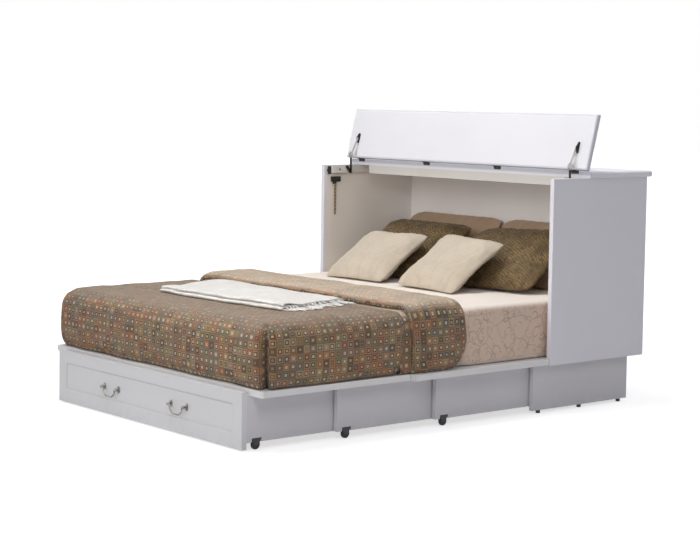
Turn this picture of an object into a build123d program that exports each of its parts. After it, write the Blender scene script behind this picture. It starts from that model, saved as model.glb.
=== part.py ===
from build123d import *
from math import atan2, cos, degrees, hypot, radians, sin
import os

# Cabinet bed, opened out for sleeping. Millimetres, +Z up. The cabinet stands at the head, on the +Y
# side, and the bed reaches out of it towards -Y. While the pieces are built, Y is counted from the front
# edges of the cabinet's side panels; write_part() then moves the origin to the middle of the footprint.

# Cabinet carcass
body_width = 1592.0
body_depth = 608.0
overall_height = 1054.0
side_thickness = 22.0
side_foot = 212.0
back_thickness = 15.0
edge_round = 1.5

# Top board, fixed behind and hinged in front
top_thickness = 28.0
top_side_overhang = 23.0
top_back_overhang = 6.0
top_round = 12.0
lid_length = 252.0
lid_open_angle = 105.0
lid_hinge_y = 205.0
lid_hinge_rise = 1.0
lid_gap = 3.4
lid_hinge_spots = (-725.0, -242.0, 242.0, 725.0)
lid_hinge_length = 44.0
lid_leaf_drop = 12.0

# Bed boards
board_thickness = 25.0
board_rise = 4.0
panel_top_gap = 6.5
panel_front_gap = 1.2
panel_hinge_sink = 3.4
panel_hinge_gap = 7.2
fold_hinge_rise = 0.5
fold_hinge_gap = 3.4
foot_board_relief = 16.3
foot_board_side_gap = 10.0
board_hinge_spots = (-600.0, -200.0, 200.0, 600.0)
board_hinge_length = 110.0

# Hinge ironwork
knuckle_radius = 3.2
pin_radius = 1.6
pin_clearance = 0.05
leaf_thickness = 1.5
board_leaf_drop = 18.0
knuckle_groove = 3.8
groove_end_gap = 1.0
knuckle_end_gap = 0.4

# Telescoping base
base_width = 1520.0
base_length = 611.0
base_front_reach = 66.0
base_underside = 14.0
wall = 20.0
nest_clearance = 6.0
stop_gap = 2.0
section_underside = 31.0
section_top_gap = 0.3
middle_section_show = 512.0
front_section_show = 433.9
board_end_gap = 12.0
glide_radius = 10.0
glide_chamfer = 2.0
glide_end_margin = 45.0

# Casters
wheel_radius = 20.0
wheel_width = 12.0
wheel_setback = 50.0
dish_depth = 2.0
dish_radius = 13.5
hub_radius = 6.5
axle_radius = 3.0
axle_clearance = 0.1
cheek_thickness = 2.0
cheek_gap = 0.5
fork_end_margin = 3.0
fork_head_gap = 5.0
caster_pocket_gap = 1.0

# Drawer
drawer_front_thickness = 24.0
drawer_front_bottom = 5.0
drawer_front_lap = 15.0
drawer_wall = 14.0
drawer_floor_thickness = 8.0
drawer_floor_rise = 12.0
drawer_box_bottom = 46.0
drawer_box_height = 130.0
drawer_box_depth = 470.0
runner_thickness = 12.7
runner_height = 36.0
runner_sheet = 1.5
runner_set_back = 4.0
running_gap = 0.3
field_side_margin = 62.0
field_top_margin = 50.0
field_bottom_margin = 62.0
field_depth = 3.0
field_bevel = 5.0

# Bail pulls
pull_offset = 252.0
pull_centre = 110.0
pull_height = 119.0
post_radius = 4.5
post_length = 13.8
ball_radius = 7.6
plate_width = 18.0
plate_height = 30.0
plate_thickness = 3.0
bail_radius = 3.2
bail_drop = 36.0
bail_clearance = 0.3
bail_end_gap = 0.8
bore_past_centre = 1.0
bail_bend = 4.0
bail_splay = 1.0
bail_shoulder = 17.0
bail_shoulder_round = 12.0
bail_flat = 44.0
bail_corner_round = 18.0

# Lid stays
batten_thickness = 20.0
batten_height = 40.0
batten_front = 40.0
rail_half = 668.0
arm_thickness = 3.0
arm_gap = 0.5
stay_pivot_set = 53.0
stay_pivot_drop = 36.0
stay_knuckle_set = 55.0
stay_knuckle_rise = 24.0
lid_pivot_reach = 100.0
lid_pivot_offset = 12.0
stay_inset = 6.0
lower_arm_radius = 5.5
upper_arm_radius = 4.5
knuckle_disc = 15.5
cam_turn = 80.0
cam_run = 13.0
cam_width = 10.0
cam_height = 4.0
hook_run = 22.0
hook_rise = 26.0
hook_radius = 7.0
lid_plate_length = 48.0
lid_plate_thickness = 3.0
ear_inset = 0.15
rod_radius = 1.7
rod_offset = 8.0
rod_side_gap = 1.0
rod_foot_reach = 9.0
rod_foot_radius = 3.0
cone_radius = 5.0
cone_tip_radius = 2.2
cone_length = 26.0

# Chain on the left panel
link_wire = 1.8
link_inside = 17.0
link_slack = 0.3
link_width = 12.0
link_count = 9
chain_y = 67.0
chain_drop = 90.0
chain_inset = 8.0
chain_pin_radius = 1.5
housing_lift = 6.0
housing_front = 24.0
housing_width = 56.0
housing_height = 26.0
housing_depth = 12.0
housing_round = 3.0
housing_tab_width = 20.0
housing_tab_thickness = 1.5
end_stop_radius = 3.6
end_stop_length = 9.0
catch_depth = 8.0
catch_width = 18.0
catch_height = 40.0
catch_top_gap = 6.0
catch_nose = 11.0
stud_radius = 4.0
stud_y = 85.0
stud_drop = 22.0

# Soft goods
mattress_width = 1510.0
mattress_thickness = 254.0
mattress_head_margin = 93.9
mattress_foot_margin = 19.0
soft_clearance = 0.3
mattress_split = 2.0
coverlet_thickness = 11.0
coverlet_hem = 3.0
turndown_head_distance = 984.1
turndown_width = 310.0
turndown_valley = 20.0
turndown_top_thickness = 42.0
turndown_side_thickness = 16.0
throw_thickness = 22.0

# Corners of the throw: X, and the share of the coverlet's length from its end to its foot
throw_corners = ((-420.0, 0.613), (590.0, 0.713), (378.0, 0.004), (-585.0, 0.004))

# Pillows: width, height and thickness of each kind; then kind, X, distance from the mattress's head to the
# lower edge, tilt up from lying flat, and roll
pillow_slope = 92.0
pillow_kinds = {
    "cream": (400.0, 380.0, 96.0),
    "gold": (580.0, 430.0, 124.0),
    "brown": (640.0, 400.0, 104.0),
}
pillow_places = {
    "pillow_cream_left": ("cream", -344.0, 671.1, 33.0, 2.0),
    "pillow_cream_right": ("cream", 173.0, 685.1, 36.0, -3.0),
    "pillow_gold_left": ("gold", -390.0, 449.1, 36.0, 0.0),
    "pillow_gold_right": ("gold", 300.0, 445.1, 36.0, 4.0),
    "pillow_brown_left": ("brown", -400.0, 199.1, 46.0, 0.0),
    "pillow_brown_right": ("brown", 262.0, 199.1, 46.0, 0.0),
}

# Derived sizes
half_body = body_width / 2
half_inside = half_body - side_thickness
half_top = half_body + top_side_overhang
top_underside = overall_height - top_thickness
board_bottom = side_foot + board_rise
board_top = board_bottom + board_thickness
inner_back_y = body_depth - back_thickness
lid_hinge_z = overall_height + lid_hinge_rise

panel_hinge_z = board_top - panel_hinge_sink
panel_hinge_y = -panel_hinge_sink - panel_front_gap
floor_front_y = panel_hinge_y + panel_hinge_gap / 2
front_panel_near_y = panel_hinge_y - panel_hinge_gap / 2
front_panel_far_y = panel_hinge_y - (top_underside - panel_top_gap - panel_hinge_z)
fold_hinge_y = front_panel_far_y - fold_hinge_gap / 2
fold_hinge_z = board_top + fold_hinge_rise
foot_board_near_y = fold_hinge_y - fold_hinge_gap / 2
foot_board_length = front_panel_near_y - front_panel_far_y - foot_board_relief
foot_board_far_y = foot_board_near_y - foot_board_length
half_foot_board = half_inside - foot_board_side_gap

base_front_y = -base_front_reach
base_back_y = base_front_y + base_length
section_top = board_bottom - section_top_gap
drawer_back_y = foot_board_far_y - board_end_gap
drawer_face_y = drawer_back_y - drawer_front_thickness
drawer_top = board_bottom + drawer_front_lap
middle_section_reach = -drawer_back_y - front_section_show
rear_section_reach = middle_section_reach - middle_section_show
half_base = base_width / 2
section_step = wall + nest_clearance
fork_head = 2 * wheel_radius + fork_head_gap
fork_length = 2 * (wheel_radius + fork_end_margin)

# Each section's front edge when the bed is out and when it is pushed home, and its rear end's stop
half_rear = half_base - section_step
half_middle = half_rear - section_step
half_front = half_middle - section_step
rear_stop_y = base_back_y - wall - stop_gap
middle_stop_y = rear_stop_y - wall - stop_gap
front_stop_y = middle_stop_y - wall - stop_gap
front_home_y = base_front_y + drawer_front_thickness
sections = {
    "rear": (half_rear, -rear_section_reach, rear_stop_y - base_front_y),
    "middle": (half_middle, -middle_section_reach, middle_stop_y - base_front_y),
    "front": (half_front, drawer_back_y, front_stop_y - front_home_y),
}

pull_reach = plate_thickness + post_length + ball_radius - field_depth
mattress_bottom = board_top + soft_clearance
mattress_top = mattress_bottom + mattress_thickness
mattress_foot_y = foot_board_far_y + mattress_foot_margin
mattress_head_y = inner_back_y - mattress_head_margin
half_mattress = mattress_width / 2
turndown_back_y = mattress_head_y - turndown_head_distance
turndown_front_y = turndown_back_y - turndown_width
coverlet_end_y = turndown_front_y - turndown_valley

stay_pivot_y = lid_hinge_y - stay_pivot_set
stay_pivot_z = top_underside - stay_pivot_drop
stay_knuckle_y = lid_hinge_y - stay_knuckle_set
stay_knuckle_z = overall_height + stay_knuckle_rise
chain_top = top_underside - chain_drop
stud_z = top_underside - stud_drop
footprint_middle_y = (drawer_face_y - pull_reach + body_depth + top_back_overhang) / 2


def block(x0, x1, y0, y1, z0, z1):
    """Box between two opposite corners."""
    return Pos((x0 + x1) / 2, (y0 + y1) / 2, (z0 + z1) / 2) * Box(x1 - x0, y1 - y0, z1 - z0)


def x_rod(x0, x1, y, z, radius):
    """Cylinder along X."""
    return Pos((x0 + x1) / 2, y, z) * Rot(0, 90, 0) * Cylinder(radius, x1 - x0)


def mirrored(shape):
    return mirror(shape, about=Plane.YZ)


def x_plate(sketch, x0, thickness):
    """Plate in the YZ plane: the sketch's X runs along Y and its Y along Z."""
    return extrude(Plane((x0, 0, 0), x_dir=(0, 1, 0), z_dir=(1, 0, 0)) * sketch, thickness)


def slot_between(y0, z0, y1, z1, radius):
    """Flat bar outline with round ends centred on two points."""
    length = hypot(y1 - y0, z1 - z0)
    turn = degrees(atan2(z1 - z0, y1 - y0))
    return Pos((y0 + y1) / 2, (z0 + z1) / 2) * Rot(0, 0, turn) * SlotCenterToCenter(length, 2 * radius)


def swung_open(shape):
    """A shape of the closed lid, carried round to where the open lid holds it."""
    return shape.rotate(Axis((0, lid_hinge_y, lid_hinge_z), (1, 0, 0)), -lid_open_angle)


def point_swung_open(y, z):
    """The same for a point: its Y and Z on the open lid."""
    turn = radians(-lid_open_angle)
    dy, dz = y - lid_hinge_y, z - lid_hinge_z
    return lid_hinge_y + dy * cos(turn) - dz * sin(turn), lid_hinge_z + dy * sin(turn) + dz * cos(turn)


# Hinges


def hinge_at(x, y, z, length, gap, leaf_drop):
    """A butt hinge in the gap between two board edges, its fixed leaf on the +Y board. The pin in the two
    fixed knuckles runs through the middle knuckle of the moving leaf. Returns the fixed and moving leaf."""
    third = length / 3
    face = gap / 2
    x0, x1 = x - length / 2, x + length / 2
    low = z - knuckle_radius - knuckle_end_gap
    fixed = block(x0, x1, y + face - leaf_thickness, y + face, z - leaf_drop, low)
    moving = block(x0, x1, y - face, y - face + leaf_thickness, z - leaf_drop, low)
    for start in (x0, x1 - third + knuckle_end_gap):
        end = start + third - knuckle_end_gap
        fixed += block(start, end, y + face - leaf_thickness, y + face, low, z)
        fixed += x_rod(start, end, y, z, knuckle_radius)
    middle0, middle1 = x0 + third, x1 - third
    moving += block(middle0, middle1, y - face, y - face + leaf_thickness, low, z)
    moving += x_rod(middle0, middle1, y, z, knuckle_radius)
    moving -= x_rod(middle0, middle1, y, z, pin_radius + pin_clearance)
    fixed += x_rod(x0, x1, y, z, pin_radius)
    return fixed, moving


def hinge_row(spots, y, z, length, gap, leaf_drop):
    pairs = [hinge_at(x, y, z, length, gap, leaf_drop) for x in spots]
    return [fixed for fixed, moving in pairs], [moving for fixed, moving in pairs]


def with_grooves(board, spots, y, z, length):
    """Board with a round clearance groove for each knuckle."""
    reach = length / 2 + groove_end_gap
    for x in spots:
        board -= x_rod(x - reach, x + reach, y, z, knuckle_groove)
    return board


# Cabinet


def side_panel():
    panel = block(half_inside, half_body, 0, body_depth, side_foot, top_underside)
    front = panel.edges().filter_by(Axis.Z).group_by(Axis.Y)[0]
    return fillet(front, edge_round)


def top_board(front_y, back_y):
    """Board with its side edges rounded above and below."""
    board = block(-half_top, half_top, front_y, back_y, top_underside, overall_height)
    long_edges = board.edges().filter_by(Axis.Y)
    return fillet(long_edges, top_round)


def lid_panel():
    """The hinged front of the top, built closed and then swung open."""
    back = lid_hinge_y - lid_gap / 2
    board = block(-half_top, half_top, back - lid_length, back, top_underside, overall_height)
    front = board.edges().filter_by(Axis.X).group_by(Axis.Y)[0]
    board = fillet(front + board.edges().filter_by(Axis.Y), top_round)
    board = with_grooves(board, lid_hinge_spots, lid_hinge_y, lid_hinge_z, lid_hinge_length)
    return swung_open(board)


def battens():
    """Two battens under the top's side edges, and the rail under the hinge line."""
    low = top_underside - batten_height
    face = half_inside - batten_thickness
    batten = block(face, half_inside, batten_front, inner_back_y, low, top_underside)
    rail_y = lid_hinge_y + lid_gap / 2
    rail = block(-rail_half, rail_half, rail_y, rail_y + batten_thickness, low, top_underside)
    return Compound([batten, mirrored(batten), rail])


def build_cabinet():
    fixed_top = top_board(lid_hinge_y + lid_gap / 2, body_depth + top_back_overhang)
    fixed_top = with_grooves(fixed_top, lid_hinge_spots, lid_hinge_y, lid_hinge_z, lid_hinge_length)
    floor = block(-half_inside, half_inside, floor_front_y, inner_back_y, board_bottom, board_top)
    floor = with_grooves(floor, board_hinge_spots, panel_hinge_y, panel_hinge_z, board_hinge_length)
    right = side_panel()
    return {
        "side_panel_right": right,
        "side_panel_left": mirrored(right),
        "back_panel": block(-half_inside, half_inside, inner_back_y, body_depth, side_foot, top_underside),
        "cabinet_floor": floor,
        "fixed_top": fixed_top,
        "top_battens": battens(),
        "lid_panel": lid_panel(),
    }


def build_hinges():
    spots, length, drop = lid_hinge_spots, lid_hinge_length, lid_leaf_drop
    lid_row = hinge_row(spots, lid_hinge_y, lid_hinge_z, length, lid_gap, drop)
    spots, length, drop = board_hinge_spots, board_hinge_length, board_leaf_drop
    panel_row = hinge_row(spots, panel_hinge_y, panel_hinge_z, length, panel_hinge_gap, drop)
    fold_row = hinge_row(spots, fold_hinge_y, fold_hinge_z, length, fold_hinge_gap, drop)
    return {
        "lid_hinge_top_leaves": Compound(lid_row[0]),
        "lid_hinge_lid_leaves": swung_open(Compound(lid_row[1])),
        "floor_hinge_leaves": Compound(panel_row[0]),
        "front_panel_hinge_leaves": Compound(panel_row[1] + fold_row[0]),
        "foot_panel_hinge_leaves": Compound(fold_row[1]),
    }


# Bed boards


def framed_field(board, x_half, low, high, face_y, inwards):
    """Sinks a bevelled field into an upright board's face. Inwards is +1 where the board's on the +Y side."""
    middle = (low + high) / 2
    outer = Rectangle(2 * x_half, high - low)
    inner = Rectangle(2 * (x_half - field_bevel), high - low - 2 * field_bevel)
    skin = Plane((0, face_y, middle), x_dir=(1, 0, 0), z_dir=(0, inwards, 0))
    return board - loft([skin * outer, skin.offset(field_depth) * inner], ruled=True)


def build_boards():
    front = block(-half_body, half_body, front_panel_far_y, front_panel_near_y, board_bottom, board_top)
    front = with_grooves(front, board_hinge_spots, panel_hinge_y, panel_hinge_z, board_hinge_length)
    front = with_grooves(front, board_hinge_spots, fold_hinge_y, fold_hinge_z, board_hinge_length)
    half = half_foot_board
    foot = block(-half, half, foot_board_far_y, foot_board_near_y, board_bottom, board_top)
    corners = foot.edges().filter_by(Axis.Z).group_by(Axis.Y)[0]
    foot = chamfer(corners, board_end_gap / 2)
    foot = with_grooves(foot, board_hinge_spots, fold_hinge_y, fold_hinge_z, board_hinge_length)
    return {"front_panel": front, "foot_panel": foot}


# Base


def long_sides(half, front_y, length, underside, top, wheel_y=None):
    """Both long walls of a frame, with a pocket for the caster where it has one."""
    side = block(half - wall, half, front_y, front_y + length, underside, top)
    if wheel_y is not None:
        reach = fork_length / 2 + caster_pocket_gap
        pocket_top = fork_head + cheek_thickness
        side -= block(half - wall, half, wheel_y - reach, wheel_y + reach, underside, pocket_top)
    return Compound([side, mirrored(side)])


def rear_board(half, back_y, underside, top):
    return block(-half + wall, half - wall, back_y - wall, back_y, underside, top)


def caster_fork(half, wheel_y):
    """Pressed steel fork: a head plate and two cheeks whose rear edges slope down to the axle."""
    x = half - wall / 2
    reach = wheel_width / 2 + cheek_gap
    head = block(
        x - reach - cheek_thickness,
        x + reach + cheek_thickness,
        wheel_y - fork_length / 2,
        wheel_y + fork_length / 2,
        fork_head,
        fork_head + cheek_thickness,
    )
    outline = Polygon(
        (wheel_y - axle_radius * 3, wheel_radius - axle_radius * 2),
        (wheel_y + axle_radius * 3, wheel_radius - axle_radius * 2),
        (wheel_y + fork_length / 2, fork_head),
        (wheel_y - fork_length / 2, fork_head),
        align=None,
    )
    outline = fillet(outline.vertices().group_by(Axis.Y)[0], axle_radius * 2)
    fork = head
    for cheek_x in (x - reach - cheek_thickness, x + reach):
        fork += x_plate(outline, cheek_x, cheek_thickness)
    outside = reach + cheek_thickness
    fork += x_rod(x - outside, x + outside, wheel_y, wheel_radius, axle_radius)
    return Compound([fork, mirrored(fork)])


def caster_wheel(half, wheel_y):
    x = half - wall / 2
    tread = x_rod(x - wheel_width / 2, x + wheel_width / 2, wheel_y, wheel_radius, wheel_radius)
    rims = tread.edges().filter_by(GeomType.CIRCLE)
    tread = fillet(rims, wheel_width / 4)
    for side in (-1, 1):
        face = x + side * wheel_width / 2
        dish = x_rod(face - dish_depth, face + dish_depth, wheel_y, wheel_radius, dish_radius)
        tread -= dish - x_rod(face - dish_depth, face + dish_depth, wheel_y, wheel_radius, hub_radius)
    bore = axle_radius + axle_clearance
    return tread - x_rod(x - wheel_width, x + wheel_width, wheel_y, wheel_radius, bore)


def base_glides():
    """Six round feet under the fixed base."""
    foot = chamfer(Cylinder(glide_radius, base_underside).edges().group_by(Axis.Z)[0], glide_chamfer)
    front, back = base_front_y + glide_end_margin, base_back_y - glide_end_margin
    spots = [front, (front + back) / 2, back]
    x = half_base - wall / 2
    return Compound([Pos(side * x, y, base_underside / 2) * foot for side in (-1, 1) for y in spots])


def build_base():
    pieces = {
        "base_sides": long_sides(half_base, base_front_y, base_length, base_underside, board_bottom),
        "base_rear_board": rear_board(half_base, base_back_y, base_underside, board_bottom),
        "base_glides": base_glides(),
    }
    for name, (half, front_y, length) in sections.items():
        wheel_y = front_y + wheel_setback
        low, top = section_underside, section_top
        pieces[f"{name}_section_sides"] = long_sides(half, front_y, length, low, top, wheel_y)
        pieces[f"{name}_section_rear_board"] = rear_board(half, front_y + length, low, top)
        pieces[f"{name}_caster_forks"] = caster_fork(half, wheel_y)
        wheel = caster_wheel(half, wheel_y)
        pieces[f"{name}_wheel_right"] = wheel
        pieces[f"{name}_wheel_left"] = mirrored(wheel)
    return pieces


# Drawer


def build_drawer():
    runner_x1 = half_front - wall
    runner_x0 = runner_x1 - runner_thickness
    box_half = runner_x0
    box_y1 = drawer_back_y + drawer_box_depth
    box_top = drawer_box_bottom + drawer_box_height
    front = block(-half_front, half_front, drawer_face_y, drawer_back_y, drawer_front_bottom, drawer_top)
    front = framed_field(
        front,
        half_front - field_side_margin,
        drawer_front_bottom + field_bottom_margin,
        drawer_top - field_top_margin,
        drawer_face_y,
        1,
    )
    side = block(box_half - drawer_wall, box_half, drawer_back_y, box_y1, drawer_box_bottom, box_top)
    half = box_half - drawer_wall
    back_y0 = box_y1 - drawer_wall
    back = block(-half, half, back_y0, box_y1, drawer_box_bottom, box_top)
    floor_bottom = drawer_box_bottom + drawer_floor_rise
    floor = block(-half, half, drawer_back_y, back_y0, floor_bottom, floor_bottom + drawer_floor_thickness)
    runner_z0 = drawer_box_bottom + (drawer_box_height - runner_height) / 2
    runner_z1 = runner_z0 + runner_height
    runner_y0 = drawer_back_y + runner_set_back
    channel = block(runner_x0 + running_gap, runner_x1, runner_y0, box_y1, runner_z0, runner_z1)
    hollow = runner_sheet + running_gap
    low, high = runner_z0 + runner_sheet, runner_z1 - runner_sheet
    channel -= block(runner_x0, runner_x1 - runner_sheet, runner_y0, box_y1, low, high)
    bar = block(runner_x0, runner_x1 - hollow, runner_y0, box_y1, runner_z0 + hollow, runner_z1 - hollow)
    return {
        "drawer_front": front,
        "drawer_box": Compound([side, mirrored(side), back]),
        "drawer_floor": floor,
        "runner_channels": Compound([channel, mirrored(channel)]),
        "runner_bars": Compound([bar, mirrored(bar)]),
    }


def pull_posts(x):
    """Two oval plates, each with a post and a ball that is bored for the bail's end."""
    face = drawer_face_y + field_depth
    ball_y = face - plate_thickness - post_length
    posts = []
    for side in (-1, 1):
        at = x + side * pull_centre / 2
        seat = Plane((at, face, pull_height), x_dir=(1, 0, 0), z_dir=(0, -1, 0))
        post = extrude(seat * Ellipse(plate_width / 2, plate_height / 2), plate_thickness)
        post += extrude(seat * Circle(post_radius), plate_thickness + post_length)
        post += Pos(at, ball_y, pull_height) * Rot(90, 0, 0) * Sphere(ball_radius)
        ends = sorted((at + side * bore_past_centre, at - side * ball_radius))
        post -= x_rod(*ends, ball_y, pull_height, bail_radius + bail_clearance)
        posts.append(post)
    return posts


def bail(x):
    """Drooping swan-neck handle whose two ends turn outwards into the balls."""
    y = drawer_face_y + field_depth - plate_thickness - post_length
    end = pull_centre / 2 - bail_end_gap
    neck = pull_centre / 2 - ball_radius - bail_bend
    outline = [
        (-end, 0),
        (-neck, 0),
        (-neck - bail_splay, -bail_shoulder),
        (-bail_flat / 2, -bail_drop),
        (bail_flat / 2, -bail_drop),
        (neck + bail_splay, -bail_shoulder),
        (neck, 0),
        (end, 0),
    ]
    points = [Vector(x + u, y, pull_height + w) for u, w in outline]
    rounds = [bail_bend, bail_shoulder_round, bail_corner_round]
    path = FilletPolyline(*points, radius=rounds + rounds[::-1])
    profile = Plane(path @ 0, z_dir=path % 0) * Circle(bail_radius)
    return sweep(profile, path=path)


# Lid stays


def build_stays():
    """Folding stays and their ironwork. The lower arm turns on the batten's bracket, the upper arm on the
    lid's. The round knuckle, with its cam, is on the lower arm. What the lid carries is built on the closed
    lid, under its inner face, and swung open with it."""
    lower_x1 = half_inside - batten_thickness - stay_inset
    lower_x0 = lower_x1 - arm_thickness
    upper_x1 = lower_x0 - arm_gap
    upper_x0 = upper_x1 - arm_thickness
    closed_pivot_y = lid_hinge_y - lid_pivot_reach
    closed_pivot_z = top_underside - lid_pivot_offset
    pivot_y, pivot_z = point_swung_open(closed_pivot_y, closed_pivot_z)
    foot_y, foot_z = stay_pivot_y, stay_pivot_z

    hook = slot_between(foot_y, foot_z, foot_y - hook_run, foot_z + hook_rise, hook_radius)
    hook += slot_between(foot_y, foot_z, foot_y, foot_z + hook_radius, hook_radius)
    bracket = x_plate(hook, lower_x1 + arm_gap, stay_inset - arm_gap)
    bracket += x_rod(lower_x0 - arm_gap, lower_x1 + stay_inset, foot_y, foot_z, axle_radius)

    lower = slot_between(foot_y, foot_z, stay_knuckle_y, stay_knuckle_z, lower_arm_radius)
    lower += Pos(stay_knuckle_y, stay_knuckle_z) * Circle(knuckle_disc)
    lower -= Pos(foot_y, foot_z) * Circle(axle_radius + pin_clearance)
    lower_arm = x_plate(lower, lower_x0, arm_thickness)
    cam = Rot(0, 0, cam_turn) * SlotCenterToCenter(cam_run, cam_width)
    lower_arm += x_plate(Pos(stay_knuckle_y, stay_knuckle_z) * cam, lower_x1, cam_height)

    upper = slot_between(stay_knuckle_y, stay_knuckle_z, pivot_y, pivot_z, upper_arm_radius)
    upper += Pos(stay_knuckle_y, stay_knuckle_z) * Circle(lower_arm_radius + arm_thickness)
    upper -= Pos(pivot_y, pivot_z) * Circle(axle_radius + pin_clearance)
    upper_arm = x_plate(upper, upper_x0, arm_thickness)

    half_plate = lid_plate_length / 2
    base_line = slot_between(
        closed_pivot_y - half_plate, top_underside - arm_thickness,
        closed_pivot_y + half_plate, top_underside - arm_thickness,
        arm_thickness - ear_inset,
    )
    boss = Pos(closed_pivot_y, closed_pivot_z) * Circle(axle_radius * 2)
    ear = x_plate(make_hull((base_line + boss).edges()), lower_x0, arm_thickness)
    foot = block(
        upper_x0 - arm_thickness, lower_x1 + arm_thickness,
        closed_pivot_y - half_plate, closed_pivot_y + half_plate,
        top_underside - lid_plate_thickness, top_underside,
    )
    foot = fillet(foot.edges().filter_by(Axis.Z), lid_plate_thickness)
    pin = x_rod(upper_x0 - arm_gap, lower_x1, closed_pivot_y, closed_pivot_z, axle_radius)
    lid_bracket = ear + foot + pin

    rod_x = upper_x0 - rod_side_gap - rod_radius
    rod_z = top_underside - rod_offset
    near_y = lid_hinge_y - rod_foot_reach
    far_y = closed_pivot_y + half_plate + rod_foot_radius
    rod = Plane((rod_x, near_y, rod_z), z_dir=(0, -1, 0))
    stay_rod = extrude(rod * Circle(rod_radius), near_y - far_y)
    stay_rod += loft([rod * Circle(cone_radius), rod.offset(cone_length) * Circle(cone_tip_radius)])
    for y in (near_y - cone_radius, far_y + rod_foot_radius):
        stay_rod += Pos(rod_x, y, (rod_z + top_underside) / 2) * Cylinder(rod_foot_radius, rod_offset)

    pieces = {"stay_brackets": Compound([bracket, mirrored(bracket)])}
    for name, piece in (("lid_brackets", lid_bracket), ("stay_rods", stay_rod)):
        opened = swung_open(piece)
        pieces[name] = Compound([opened, mirrored(opened)])
    for name, arm in (("lower", lower_arm), ("upper", upper_arm)):
        pieces[f"stay_{name}_arm_right"] = arm
        pieces[f"stay_{name}_arm_left"] = mirrored(arm)
    return pieces


# Chain and catches


def chain_link(z, crosswise):
    """One oval link hanging with its middle at height z."""
    half_straight = (link_inside - (link_width - 4 * link_wire)) / 2
    bend = (link_width - 2 * link_wire) / 2
    u = Vector(1, 0, 0) if crosswise else Vector(0, 1, 0)
    w = Vector(0, 0, 1)
    middle = Vector(-half_inside + chain_inset, chain_y, z)
    start = middle + u * bend - w * half_straight
    end = middle + w * (half_straight + bend)
    right = Line(start, start + w * half_straight * 2)
    over = ThreePointArc(right @ 1, end, middle - u * bend + w * half_straight)
    left = Line(over @ 1, middle - u * bend - w * half_straight)
    under = ThreePointArc(left @ 1, middle * 2 - end, start)
    path = Wire([right, over, left, under])
    return sweep(Plane(start, z_dir=w) * Circle(link_wire), path=path)


def build_chain():
    """Links hung from a pin under a black housing, with a stop below the last one."""
    pitch = link_inside - link_slack
    first = chain_top + chain_pin_radius + link_slack - link_inside / 2
    links = [chain_link(first - n * pitch, n % 2 == 1) for n in range(link_count)]
    last = first - (link_count - 1) * pitch
    stop_z = last - link_inside / 2 - link_wire
    stop = chamfer(Cylinder(end_stop_radius, end_stop_length).edges(), end_stop_radius / 3)
    links[-1] += Pos(-half_inside + chain_inset, chain_y, stop_z - end_stop_length / 2) * stop
    x0 = -half_inside
    housing_low = chain_top + housing_lift
    housing_y0 = chain_y - housing_front
    housing_y1 = housing_y0 + housing_width
    housing_z1 = housing_low + housing_height
    housing = block(x0, x0 + housing_depth, housing_y0, housing_y1, housing_low, housing_z1)
    housing = fillet(housing.edges().filter_by(Axis.X), housing_round)
    tab_y0, tab_y1 = chain_y - housing_tab_width / 2, chain_y + housing_tab_width / 2
    tab_low = chain_top - link_width / 2
    housing += block(x0, x0 + housing_tab_thickness, tab_y0, tab_y1, tab_low, housing_low)
    housing += x_rod(x0, x0 + housing_depth, chain_y, chain_top, chain_pin_radius)
    return {"hanging_chain": Compound(links), "chain_housing": housing}


def build_catches():
    """Roller catches near the front top corners, and the stop stud behind the left one."""
    x0 = half_inside - catch_depth
    middle_z = top_underside - catch_height / 2 - catch_top_gap
    body_y0 = batten_front - catch_width
    half_height = catch_height / 2
    body = block(x0, half_inside, body_y0, batten_front, middle_z - half_height, middle_z + half_height)
    body = fillet(body.edges().filter_by(Axis.X), catch_width / 4)
    outline = Polygon(
        (body_y0 + edge_round, middle_z + catch_height / 4),
        (body_y0 - catch_nose, middle_z),
        (body_y0 + edge_round, middle_z - catch_height / 4),
        align=None,
    )
    nose = fillet(outline.vertices().group_by(Axis.X)[0], catch_nose / 4)
    catch = body + x_plate(nose, x0, catch_depth / 2)
    batten_face = -half_inside + batten_thickness
    stud = x_rod(batten_face, batten_face + stud_radius, stud_y, stud_z, stud_radius)
    return {"panel_catches": Compound([catch, mirrored(catch), stud])}


# Soft goods


def pillow(width, height, thickness, slope_width):
    """A cushion: widest on its seam, sloping to a smaller face on each side, standing on its lower edge."""
    seam = Pos(0, height / 2) * Rectangle(width, height)
    face = Pos(0, height / 2) * Rectangle(width - 2 * slope_width, height - 2 * slope_width)
    upper = loft([seam, Plane.XY.offset(thickness / 2) * face], ruled=True)
    lower = loft([seam, Plane.XY.offset(-thickness / 2) * face], ruled=True)
    return upper + lower


def leaned(cushion, x, y, tilt, roll):
    """The cushion tilted up from lying flat and rolled in its own plane, its lowest point just clear of
    the mattress."""
    placed = Rot(tilt, 0, 0) * Rot(0, 0, roll) * cushion
    low = placed.bounding_box().min.Z
    return Pos(x, y, mattress_top + soft_clearance - low) * placed


def build_pillows():
    pieces = {}
    for name, (kind, x, head_distance, tilt, roll) in pillow_places.items():
        cushion = pillow(*pillow_kinds[kind], pillow_slope)
        pieces[name] = leaned(cushion, x, mattress_head_y - head_distance, tilt, roll)
    return pieces


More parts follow.
